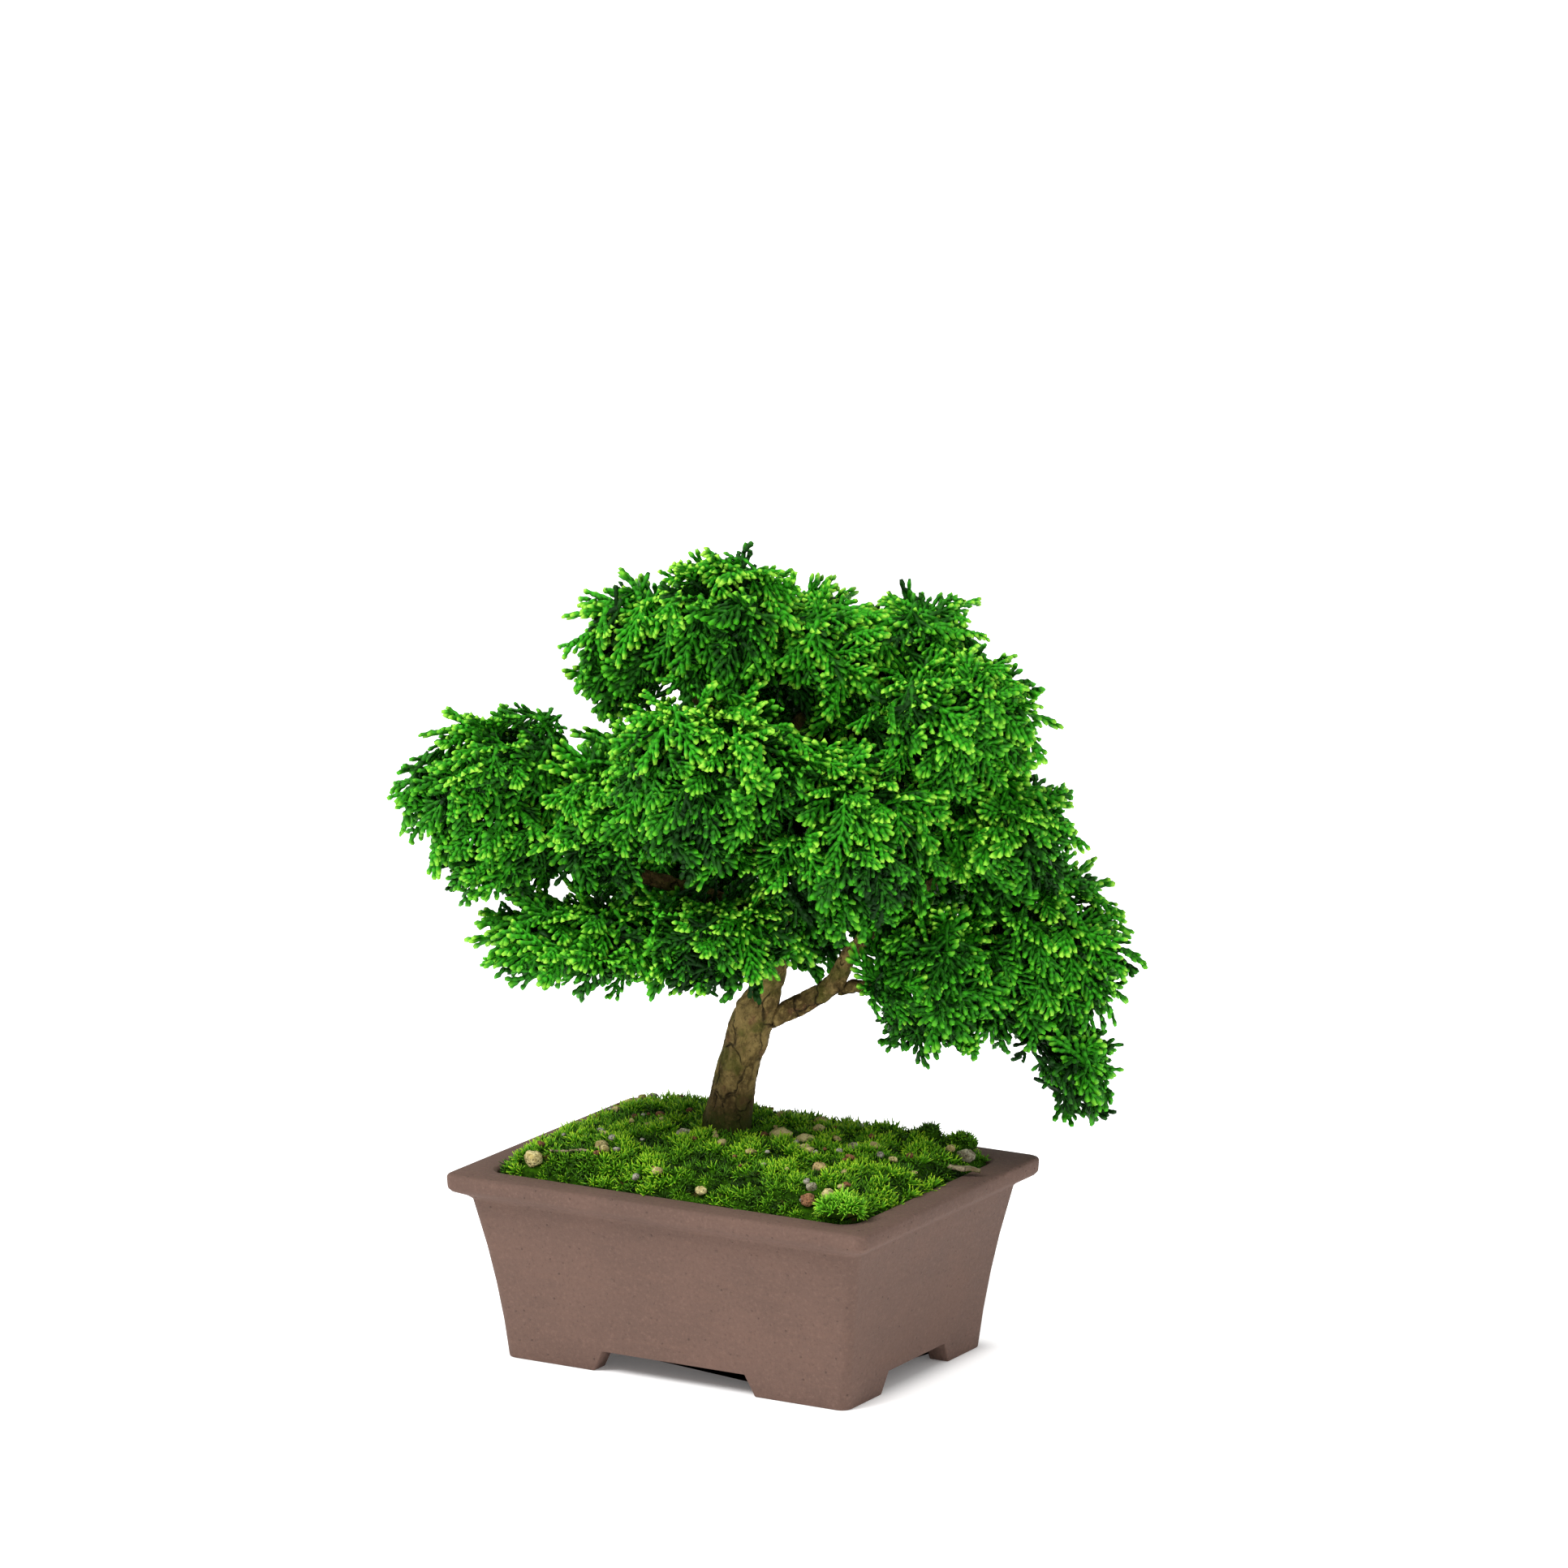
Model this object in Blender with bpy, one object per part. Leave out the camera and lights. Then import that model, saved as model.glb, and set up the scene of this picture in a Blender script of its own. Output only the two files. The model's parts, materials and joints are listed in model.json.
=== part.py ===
"""A small hinoki cypress bonsai in a rectangular clay pot.

Metres, +Z up.  The origin is on the ground under the middle of the whole object's box,
a few millimetres from the middle of the pot.  X runs along the pot's long side, and the
side of the pot that is seen most faces -Y.
"""
import math

import bmesh
import bpy
from mathutils import Matrix, Vector, noise
from mathutils.bvhtree import BVHTree

# ---- pot: overall sizes and walls ----
POT_LENGTH = 0.200
POT_WIDTH = 0.151
POT_HEIGHT = 0.0803
WALL_TOP_INSET = 0.0085    # rim edge to the wall, under the cove
WALL_LEAN = 0.0098         # how much further in the foot of the wall stands
WALL_HOLLOW = 0.0042       # the wall bows in by this much against a straight slope
COVE_HEIGHT = 0.016        # from the top of the rim to the foot of the cove
LIP_HEIGHT = 0.0076
RIM_WIDTH = 0.0142
RIM_EDGE_RADIUS = 0.0014
WALL_THICKNESS = 0.0060
FLOOR_THICKNESS = 0.0060
RIM_CORNER_RADIUS = 0.0040
WALL_CORNER_RADIUS = 0.0050
CAVITY_CORNER_RADIUS = 0.0080
CORNER_STEPS = 6

# ---- pot: feet and drainage ----
FOOT_HEIGHT = 0.0090
FOOT_ON_LONG_SIDE = 0.0432
FOOT_ON_SHORT_SIDE = 0.0292
FOOT_SLOPE = 0.0045        # the ends of a foot lean in by this much
FOOT_THICKNESS = 0.0090
FLOOR_OVER_FEET = 0.0010   # the floor's underside lies this much above the gaps between the feet
DRAIN_RADIUS = 0.0080
DRAIN_SPACING = 0.090
DRAIN_SIDES = 20

# ---- mesh over each drainage hole, and the wire clip that holds it ----
SCREEN_THICKNESS = 0.0012
SCREEN_BAR = 0.0016
SCREEN_HOLES = 3           # along each side
CLIP_WIRE = 0.0015
CLIP_CLEARANCE = 0.00105   # a leg of the clip to the wall of the drainage hole
CLIP_FOOT = 0.0050

# ---- soil and moss ----
FIT_GAP = 0.0004           # soil and moss to the pot
GAP = 0.0003               # between pieces that touch
MOSS_EDGE_DROP = 0.0012    # moss below the rim where it meets the pot
MOSS_SHOULDER = 0.0080     # quick rise of the moss near the pot
MOSS_SHOULDER_RUN = 0.0045
MOSS_CROWN = 0.0055        # slow rise from there to the trunk
MOSS_LUMPS = 0.0022
MOSS_THICKNESS = 0.0095
MOSS_EDGE_THICKNESS = 0.0060
MOSS_RINGS = 8
MOSS_AROUND = 36
SOIL_RINGS = 5

# ---- tree: it faces the viewer, a little off the pot's front ----
TREE_TURN = math.radians(30.0)
TREE_SCALE = 1.0
TRUNK_THICKNESS = 1.0
LIMB_THICKNESS = 1.0
TRUNK_SIDES = 12
LIMB_SIDES = 7
SWEEP_STEP = 0.011
FOLIAGE_SIDES = 14
LUMP_BANDS = 9
FOLIAGE_FULLNESS = 1.0     # size of the sprays' masses against the chosen radii

MM = 0.001

# Points of the trunk in the tree's frame: across, back, up, and the radius, all in mm.
# Heights are above the moss at the trunk.
TRUNK_POINTS = (
    (-8.4, 12.5, -16, 11.8),
    (-7.6, 12.0, -5, 11.0),
    (-6.6, 11.5, 3, 10.8),
    (-4.9, 10.5, 13, 9.4),
    (-2.1, 8.0, 29, 8.8),
    (1.9, 5.0, 42, 8.8),
    (5.4, 3.0, 51, 9.2),
    (10.6, 1.0, 65, 6.3),
    (13.5, 0.0, 90, 5.6),
    (9.5, -1.0, 122, 4.8),
    (2.0, -4.0, 154, 4.0),
    (-5.0, -9.0, 186, 3.0),
    (-9.0, -13.0, 212, 2.0),
)

# Limbs: across, back, up from the moss, radius, all in mm; each starts inside the trunk
# or inside the limb that it is named after.
LIMBS = {
    "limb_low_right": (
        "trunk",
        ((5, 3, 46, 5.4), (15, 1, 50.5, 5.0), (30, -1, 58.5, 4.6), (38, -4, 65, 4.4),
         (43, -7, 77, 3.9), (60, -11, 96, 2.8), (84, -14, 114, 2.2), (104, -11, 128, 1.6)),
    ),
    "limb_low_right_fork": (
        "limb_low_right",
        ((36, -3, 62, 3.4), (45, -4, 63.5, 3.2), (57, -6, 62.5, 3.0), (80, -9, 66, 2.5),
         (106, -9, 70, 2.0), (126, -9, 66, 1.7), (135, -12, 40, 1.2)),
    ),
    "limb_low_left": (
        "trunk",
        ((11, 1, 70, 3.4), (-10, -6, 82, 3.0), (-38, -11, 86, 2.4), (-66, -14, 88, 1.6)),
    ),
    "limb_left": (
        "trunk",
        ((13, 0, 88, 4.2), (-12, -5, 101, 3.8), (-44, -8, 112, 3.2), (-74, -4, 125, 2.6),
         (-99, 0, 138, 1.8)),
    ),
    "limb_front": (
        "trunk",
        ((12, -1, 104, 3.6), (2, -18, 130, 3.2), (-8, -34, 146, 2.6), (-15, -46, 160, 1.8)),
    ),
    "limb_front_right": (
        "trunk",
        ((13, 0, 82, 3.4), (22, -16, 98, 3.0), (34, -34, 116, 2.4), (44, -44, 130, 1.6)),
    ),
    "limb_front_low": (
        "trunk",
        ((12, 0, 76, 3.0), (4, -14, 86, 2.6), (-8, -28, 94, 2.0), (-18, -36, 98, 1.4)),
    ),
    "limb_right": (
        "trunk",
        ((10, -1, 118, 3.8), (34, -8, 142, 3.3), (60, -18, 162, 2.7), (86, -26, 180, 1.8)),
    ),
    "limb_top_right": (
        "trunk",
        ((3, -3, 148, 3.2), (24, 1, 176, 2.8), (42, 6, 202, 2.2), (74, 4, 212, 1.6)),
    ),
    "limb_top_left": (
        "trunk",
        ((-1, -6, 168, 2.8), (-20, -5, 186, 2.3), (-48, -5, 206, 1.5)),
    ),
    "limb_back_left": (
        "trunk",
        ((13, 0, 96, 3.8), (4, 22, 116, 3.3), (-18, 40, 130, 2.7), (-38, 50, 140, 1.8)),
    ),
    "limb_back": (
        "trunk",
        ((11, -1, 112, 3.6), (16, 22, 128, 3.2), (20, 46, 142, 2.5), (22, 64, 146, 1.6)),
    ),
    "limb_back_right": (
        "trunk",
        ((14, 0, 92, 3.6), (34, 22, 108, 3.1), (56, 36, 122, 2.5), (72, 43, 148, 1.7)),
    ),
}

# Masses of leaf sprays: across, back, up from the moss, then the three half sizes, in mm.
FOLIAGE = {
    "foliage_apex": ((-10, -15, 218), (31, 29, 29)),
    "foliage_apex_left": ((-47, -6, 206), (22, 25, 24)),
    "foliage_top_middle": ((36, -1, 203), (30, 34, 29)),
    "foliage_top_right": ((71, 2, 207), (27, 28, 22)),
    "foliage_right_upper": ((83, -24, 179), (36, 31, 31)),
    "foliage_front": ((-14, -44, 160), (44, 35, 34)),
    "foliage_left": ((-101, 0, 140), (38, 35, 37)),
    "foliage_left_inner": ((-58, -18, 138), (25, 27, 28)),
    "foliage_low_left": ((-65, -15, 87), (42, 33, 18)),
    "foliage_front_low": ((-11, -32, 91), (34, 28, 19)),
    "foliage_front_right": ((41, -41, 134), (38, 34, 37)),
    "foliage_right_middle": ((105, -10, 129), (31, 32, 30)),
    "foliage_right_low": ((123, -6, 77), (35, 32, 36)),
    "foliage_right_low_front": ((77, -22, 73), (34, 29, 27)),
    "foliage_right_hanging": ((137, -12, 31), (15, 15, 18)),
    "foliage_low_middle": ((31, 15, 84), (22, 18, 17)),
    "foliage_back_left": ((-37, 50, 137), (34, 32, 29)),
    "foliage_back_top": ((8, 40, 196), (37, 33, 28)),
    "foliage_back_middle": ((20, 64, 142), (36, 31, 33)),
    "foliage_back_right": ((72, 43, 156), (33, 32, 30)),
    "foliage_back_low_right": ((74, 43, 102), (34, 30, 22)),
    "foliage_back_low_left": ((-28, 42, 100), (33, 27, 20)),
}

# Stones on the moss: place as shares of the half sizes of the moss, long half size in mm,
# height over width, and tone.
STONES = {
    "stone_left_end": (-0.788, -0.920, 4.4, 0.80, "pale"),
    "stone_left_back": (-0.517, -0.666, 2.9, 0.70, "pale"),
    "stone_by_trunk_left": (-0.265, -0.172, 3.7, 0.60, "grey"),
    "stone_by_trunk_long": (0.155, 0.120, 5.8, 0.55, "pale"),
    "stone_by_trunk_right": (0.300, 0.105, 4.4, 0.60, "pale"),
    "stone_back": (0.551, 0.135, 2.9, 0.75, "grey"),
    "stone_right": (0.594, -0.417, 4.6, 0.45, "tan"),
    "stone_front_left": (0.162, -0.950, 2.6, 0.80, "pale"),
    "stone_front_square": (0.700, -0.784, 2.5, 0.85, "grey"),
    "stone_front_round": (0.809, -0.832, 3.1, 0.85, "pale"),
    "stone_front_brown": (0.740, -0.925, 3.8, 0.80, "brown"),
    "stone_corner": (0.955, 0.690, 4.1, 0.75, "grey"),
}
STONE_SINK = 0.35          # share of a stone's half height that is down in the moss

# Plants of other mosses: tone, place as shares of the half sizes of the moss, the three half
# sizes in mm, and how far the middle stands over the moss as a share of the half height.
CUSHIONS = {
    "moss_ball": ("moss_dark", 0.735, 0.730, (4.7, 4.5, 4.7), 0.30),
    "moss_cushion_right": ("moss", 0.860, 0.870, (6.6, 5.6, 3.4), 0.0),
    "moss_clump_front": ("moss_fresh", 0.925, -0.948, (8.6, 5.4, 4.0), 0.35),
}

# ---- litter: places as shares of the half sizes of the moss ----
FLAKE_LENGTH = 0.0138
FLAKE_WIDTH = 0.0038
FLAKE_THICKNESS = 0.0016
FLAKE_CURL = 0.0005
FLAKE_TURN = math.radians(24)
FLAKE_TILT = math.radians(10)
FLAKE_PLACE = (1.03, 0.470)
FLAKE_OVER_RIM = 0.0034    # middle of the flake over the top of the rim
TWIG_HALF_LENGTH = 0.008
TWIG_RADIUS = 0.0006
TWIG_PLACE = (-0.640, -0.800)
TWIG_OVER_MOSS = 0.0014

COLOURS = {
    "clay": (0.205, 0.126, 0.104),
    "soil": (0.040, 0.026, 0.017),
    "moss": (0.110, 0.205, 0.018),
    "moss_dark": (0.035, 0.085, 0.012),
    "moss_fresh": (0.190, 0.400, 0.030),
    "bark": (0.140, 0.100, 0.062),
    "foliage": (0.035, 0.190, 0.018),
    "pale": (0.520, 0.450, 0.270),
    "grey": (0.300, 0.290, 0.250),
    "tan": (0.400, 0.250, 0.110),
    "brown": (0.190, 0.110, 0.065),
    "bark_chip": (0.150, 0.100, 0.075),
    "screen": (0.020, 0.020, 0.020),
    "wire": (0.550, 0.540, 0.520),
}


# ---------------------------------------------------------------- helpers
def material(name, rough=0.85, metal=0.0):
    """The material of that name, made once from the list of colours."""
    found = bpy.data.materials.get(name)
    if found:
        return found
    made = bpy.data.materials.new(name)
    made.use_nodes = True
    shader = made.node_tree.nodes["Principled BSDF"]
    shader.inputs["Base Color"].default_value = (*COLOURS[name], 1.0)
    shader.inputs["Roughness"].default_value = rough
    shader.inputs["Metallic"].default_value = metal
    return made


def finish(bm, name, finish_name, rough=0.85, metal=0.0):
    """Turn a bmesh into a named object with its material, shaded smooth between creases."""
    bmesh.ops.triangulate(bm, faces=bm.faces[:])
    bmesh.ops.recalc_face_normals(bm, faces=bm.faces[:])
    mesh = bpy.data.meshes.new(name)
    bm.to_mesh(mesh)
    bm.free()
    mesh.materials.append(material(finish_name, rough, metal))
    mesh.shade_smooth()
    mesh.set_sharp_from_angle(angle=math.radians(40))
    made = bpy.data.objects.new(name, mesh)
    bpy.context.scene.collection.objects.link(made)
    return made


def loop_edges(verts):
    """The edges that join neighbours in a ring of vertices."""
    ring = set(verts)
    return [e for e in {e for v in verts for e in v.link_edges} if set(e.verts) <= ring]


def loft(bm, rings, close_first=True, close_last=True):
    """Bridge each ring to the next one and close the ends."""
    for low, high in zip(rings, rings[1:]):
        bmesh.ops.bridge_loops(bm, edges=loop_edges(low) + loop_edges(high))
    if close_first:
        bm.faces.new(rings[0])
    if close_last:
        bm.faces.new(rings[-1])


def rounded_ring(bm, half_x, half_y, radius, height, steps=CORNER_STEPS):
    """A level ring: a rectangle with round corners.  height is a number or a function of x, y."""
    verts = []
    for corner in range(4):
        side_x = 1 if corner in (0, 3) else -1
        side_y = 1 if corner in (0, 1) else -1
        for step in range(steps + 1):
            angle = math.radians(90) * (corner + step / steps)
            x = side_x * (half_x - radius) + radius * math.cos(angle)
            y = side_y * (half_y - radius) + radius * math.sin(angle)
            z = height(x, y) if callable(height) else height
            verts.append(bm.verts.new((x, y, z)))
    for a, b in zip(verts, verts[1:] + verts[:1]):
        bm.edges.new((a, b))
    return verts


def block(low, high):
    """A closed box between two corners, as a bmesh."""
    bm = bmesh.new()
    bmesh.ops.create_cube(bm, size=1.0)
    low, high = Vector(low), Vector(high)
    bmesh.ops.scale(bm, vec=high - low, verts=bm.verts[:])
    bmesh.ops.translate(bm, vec=(low + high) / 2, verts=bm.verts[:])
    return bm


def cutter(bm, name="cutter"):
    """A tool for a cut, which is removed once it has been used."""
    bmesh.ops.triangulate(bm, faces=bm.faces[:])
    bmesh.ops.recalc_face_normals(bm, faces=bm.faces[:])
    mesh = bpy.data.meshes.new(name)
    bm.to_mesh(mesh)
    bm.free()
    tool = bpy.data.objects.new(name, mesh)
    bpy.context.scene.collection.objects.link(tool)
    tool.hide_render = True
    tool.display_type = "WIRE"
    return tool


def grown(piece, gap=GAP):
    """A cutter in the shape of a piece, larger all round by the gap."""
    bm = bmesh.new()
    bm.from_mesh(piece.data)
    bm.normal_update()
    moves = [v.normal * gap * 1.15 for v in bm.verts]
    for vert, move in zip(bm.verts, moves):
        vert.co += move
    return cutter(bm)


def grown_bar(route, sides, gap=GAP):
    """A cutter in the shape of a swept bar, larger all round and longer by the gap."""
    reach = gap * 1.15
    wider = [Vector((*point.xyz, point.w + reach)) for point in route]
    for end, inner in ((0, 1), (-1, -2)):
        out = (route[end].xyz - route[inner].xyz).normalized() * reach
        wider[end] = Vector((*(route[end].xyz + out), wider[end].w))
    return cutter(sweep(wider, sides))


def cut(piece, tools):
    """Subtract every tool from the piece for good, and remove the tools."""
    for tool in tools:
        change = piece.modifiers.new("cut", "BOOLEAN")
        change.operation = "DIFFERENCE"
        change.solver = "EXACT"
        change.object = tool
    view = bpy.context.evaluated_depsgraph_get()
    result = bpy.data.meshes.new_from_object(piece.evaluated_get(view))
    piece.modifiers.clear()
    old, piece.data = piece.data, result
    bpy.data.meshes.remove(old)
    result.name = piece.name
    for tool in tools:
        bpy.data.objects.remove(tool)


def tree_of(piece):
    bm = bmesh.new()
    bm.from_mesh(piece.data)
    tree = BVHTree.FromBMesh(bm)
    bm.free()
    return tree


def meets(piece, other):
    """True where the surfaces of two pieces cross."""
    return bool(tree_of(piece).overlap(tree_of(other)))


def smooth_route(points, step):
    """Points every step along a smooth curve through the given (x, y, z, radius) points."""
    ends = [2 * points[0] - points[1], *points, 2 * points[-1] - points[-2]]
    route = []
    for before, start, end, after in zip(ends, ends[1:], ends[2:], ends[3:]):
        count = max(1, round((end.xyz - start.xyz).length / step))
        for i in range(count):
            t = i / count
            route.append(0.5 * (2 * start + (end - before) * t
                                + (2 * before - 5 * start + 4 * end - after) * t * t
                                + (3 * start - before - 3 * end + after) * t ** 3))
    return [*route, points[-1]]


def sweep(route, sides):
    """A round bar along a route of (x, y, z, radius) points, closed at both ends."""
    bm = bmesh.new()
    rings = []
    frame = None
    for i, here in enumerate(route):
        ahead = route[min(i + 1, len(route) - 1)].xyz - route[max(i - 1, 0)].xyz
        ahead.normalize()
        if frame is None:
            frame = ahead.to_track_quat("Z", "Y")
        else:
            turn = (frame @ Vector((0, 0, 1))).rotation_difference(ahead)
            frame = turn @ frame
        place = Matrix.Translation(here.xyz) @ frame.to_matrix().to_4x4()
        ring = bmesh.ops.create_circle(
            bm, cap_ends=False, segments=sides, radius=here.w, matrix=place)["verts"]
        rings.append(ring)
    loft(bm, rings)
    return bm


# ---------------------------------------------------------------- the pot
BASE_RECESS = FOOT_HEIGHT + FLOOR_OVER_FEET
FLOOR_TOP = BASE_RECESS + FLOOR_THICKNESS


def wall_inset(z):
    """How far the outside of the wall stands in from the rim's edge at height z."""
    up = 1 - z / (POT_HEIGHT - COVE_HEIGHT)
    return WALL_TOP_INSET + (WALL_LEAN + WALL_HOLLOW * (1 - up)) * up


def cavity_inset(z):
    """How far the inside of the wall stands in from the rim's edge at height z."""
    return max(RIM_WIDTH, wall_inset(min(z, POT_HEIGHT - COVE_HEIGHT)) + WALL_THICKNESS)


def pot_ring(bm, inset, z, radius):
    return rounded_ring(bm, POT_LENGTH / 2 - inset, POT_WIDTH / 2 - inset, radius, z)


def make_pot():
    bm = bmesh.new()
    wall_top = POT_HEIGHT - COVE_HEIGHT
    lip_low = POT_HEIGHT - LIP_HEIGHT
    inside = WALL_TOP_INSET
    rings = [pot_ring(bm, wall_inset(z), z, WALL_CORNER_RADIUS)
             for z in (0, wall_top * 0.25, wall_top * 0.5, wall_top * 0.75, wall_top)]
    for share, drop in ((0.88, 0.44), (0.62, 0.22)):
        rings.append(pot_ring(bm, inside * share, wall_top + (lip_low - wall_top) * (1 - drop),
                              WALL_CORNER_RADIUS))
    rings.append(pot_ring(bm, RIM_EDGE_RADIUS, lip_low, RIM_CORNER_RADIUS))
    rings.append(pot_ring(bm, RIM_EDGE_RADIUS * 0.2, lip_low + RIM_EDGE_RADIUS, RIM_CORNER_RADIUS))
    rings.append(pot_ring(bm, 0, POT_HEIGHT - RIM_EDGE_RADIUS, RIM_CORNER_RADIUS))
    rings.append(pot_ring(bm, RIM_EDGE_RADIUS * 0.3, POT_HEIGHT - RIM_EDGE_RADIUS * 0.3,
                          RIM_CORNER_RADIUS))
    rings.append(pot_ring(bm, RIM_EDGE_RADIUS, POT_HEIGHT, RIM_CORNER_RADIUS))
    rings.append(pot_ring(bm, RIM_WIDTH - RIM_EDGE_RADIUS, POT_HEIGHT, CAVITY_CORNER_RADIUS))
    rings.append(pot_ring(bm, RIM_WIDTH, POT_HEIGHT - RIM_EDGE_RADIUS, CAVITY_CORNER_RADIUS))
    for z in (wall_top, (wall_top + FLOOR_TOP) / 2, FLOOR_TOP):
        rings.append(pot_ring(bm, cavity_inset(z), z, CAVITY_CORNER_RADIUS))
    loft(bm, rings)
    pot = finish(bm, "pot", "clay", 0.9)

    base_x = POT_LENGTH / 2 - wall_inset(0)
    base_y = POT_WIDTH / 2 - wall_inset(0)
    tools = []
    recess = bmesh.new()
    loft(recess, [rounded_ring(recess, base_x - FOOT_THICKNESS, base_y - FOOT_THICKNESS,
                               WALL_CORNER_RADIUS / 2, z) for z in (-POT_HEIGHT, BASE_RECESS)])
    tools.append(cutter(recess))
    for along, half_gap in (("X", base_x - FOOT_ON_LONG_SIDE), ("Y", base_y - FOOT_ON_SHORT_SIDE)):
        notch = block((-half_gap, -POT_LENGTH, -FOOT_HEIGHT), (half_gap, POT_LENGTH, FOOT_HEIGHT))
        for vert in notch.verts:
            side = math.copysign(1, vert.co.x)
            slope = FOOT_SLOPE / FOOT_HEIGHT
            vert.co.x = side * (half_gap - slope * vert.co.z)
        if along == "Y":
            bmesh.ops.rotate(notch, matrix=Matrix.Rotation(math.radians(90), 3, "Z"),
                             verts=notch.verts[:])
        tools.append(cutter(notch))
    for side in (-1, 1):
        drain = bmesh.new()
        bmesh.ops.create_cone(drain, cap_ends=True, segments=DRAIN_SIDES, radius1=DRAIN_RADIUS,
                              radius2=DRAIN_RADIUS, depth=POT_HEIGHT)
        bmesh.ops.translate(drain, vec=(side * DRAIN_SPACING / 2, 0, 0), verts=drain.verts[:])
        tools.append(cutter(drain))
    cut(pot, tools)
    return pot


# ---------------------------------------------------------------- drainage
def screen_pitch():
    """The legs of the clip stand one opening off the middle, just inside the drainage hole."""
    return DRAIN_RADIUS - CLIP_CLEARANCE - CLIP_WIRE / 2


def make_screen(name, x):
    """A square of plastic mesh on the pot's floor over a drainage hole."""
    bm = bmesh.new()
    size = SCREEN_HOLES * screen_pitch() + SCREEN_BAR
    cells = 2 * SCREEN_HOLES + 1
    bmesh.ops.create_grid(bm, x_segments=cells, y_segments=cells, size=size / 2)
    lines = [0.0]
    for i in range(cells):
        lines.append(lines[-1] + (SCREEN_BAR if i % 2 == 0 else screen_pitch() - SCREEN_BAR))
    for vert in bm.verts:
        for axis in (0, 1):
            nearest = round((vert.co[axis] + size / 2) / size * cells)
            vert.co[axis] = lines[nearest] - size / 2
    holes = []
    for face in bm.faces:
        middle = face.calc_center_median()
        columns = [sum(middle[axis] + size / 2 > line for line in lines) - 1 for axis in (0, 1)]
        if columns[0] % 2 == 1 and columns[1] % 2 == 1:
            holes.append(face)
    bmesh.ops.delete(bm, geom=holes, context="FACES")
    bmesh.ops.solidify(bm, geom=bm.faces[:], thickness=SCREEN_THICKNESS)
    low = min(v.co.z for v in bm.verts)
    bmesh.ops.translate(bm, vec=(x, 0, FLOOR_TOP + GAP - low), verts=bm.verts[:])
    return finish(bm, name, "screen", 0.6)


def make_clip(name, x):
    """A bent wire over the mesh, its legs through the hole and out under the floor."""
    radius = CLIP_WIRE / 2
    leg = screen_pitch()
    top = FLOOR_TOP + GAP + SCREEN_THICKNESS + GAP + radius
    low = BASE_RECESS - GAP - radius
    bend = CLIP_WIRE
    half = ((leg + CLIP_FOOT, low), (leg + bend, low), (leg + bend * 0.3, low + bend * 0.3),
            (leg, low + bend), (leg, top - bend), (leg - bend * 0.3, top - bend * 0.3),
            (leg - bend, top))
    points = [(-a, b) for a, b in half] + [(a, b) for a, b in reversed(half)]
    route = [Vector((x + a, 0, b, radius)) for a, b in points]
    return finish(sweep(route, 8), name, "wire", 0.35, 1.0)


# ---------------------------------------------------------------- soil and moss
def edge_distance(x, y):
    """From a point on the moss to the pot's wall, and how far out it lies, from 0 to 1."""
    half_x = POT_LENGTH / 2 - RIM_WIDTH
    half_y = POT_WIDTH / 2 - RIM_WIDTH
    gap = max(0.0, min(half_x - abs(x), half_y - abs(y)))
    out = max(abs(x) / half_x, abs(y) / half_y)
    return gap, out


def on_moss(share_x, share_y):
    """A place on the moss, given as shares of the way from the middle to the pot's wall."""
    return share_x * (POT_LENGTH / 2 - RIM_WIDTH), share_y * (POT_WIDTH / 2 - RIM_WIDTH)


def moss_height(x, y):
    gap, out = edge_distance(x, y)
    rise = MOSS_SHOULDER * (1 - math.exp(-gap / MOSS_SHOULDER_RUN)) + MOSS_CROWN * (1 - out * out)
    lumps = (noise.noise(Vector((x, y, 0.2)) / 0.017)
             + 0.5 * noise.noise(Vector((x, y, 0.5)) / 0.008))
    fade = min(1.0, gap / 0.010)
    return POT_HEIGHT - MOSS_EDGE_DROP + rise + MOSS_LUMPS * lumps * fade


def soil_height(x, y):
    gap, _ = edge_distance(x, y)
    deep = min(1.0, gap / 0.020)
    thick = MOSS_EDGE_THICKNESS + (MOSS_THICKNESS - MOSS_EDGE_THICKNESS) * deep
    rise = MOSS_SHOULDER * (1 - math.exp(-gap / MOSS_SHOULDER_RUN))
    return POT_HEIGHT - MOSS_EDGE_DROP + rise + MOSS_CROWN * 0.6 - thick


MOSS_AT_TRUNK = POT_HEIGHT - MOSS_EDGE_DROP + MOSS_SHOULDER + MOSS_CROWN + 0.0012


def even_ring(bm, half_x, half_y, radius, height, count):
    """A rounded rectangle with its vertices spread evenly along its whole length."""
    fine = []
    for corner in range(4):
        side_x = 1 if corner in (0, 3) else -1
        side_y = 1 if corner in (0, 1) else -1
        for step in range(9):
            angle = math.radians(90) * (corner + step / 8)
            fine.append(Vector((side_x * (half_x - radius) + radius * math.cos(angle),
                                side_y * (half_y - radius) + radius * math.sin(angle))))
    fine.append(fine[0])
    lengths = [0.0]
    for a, b in zip(fine, fine[1:]):
        lengths.append(lengths[-1] + (b - a).length)
    verts = []
    for i in range(count):
        want = lengths[-1] * i / count
        k = max(j for j, length in enumerate(lengths[:-1]) if length <= want)
        point = fine[k].lerp(fine[k + 1], (want - lengths[k]) / (lengths[k + 1] - lengths[k]))
        verts.append(bm.verts.new((point.x, point.y, height(point.x, point.y))))
    for a, b in zip(verts, verts[1:] + verts[:1]):
        bm.edges.new((a, b))
    return verts


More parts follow.
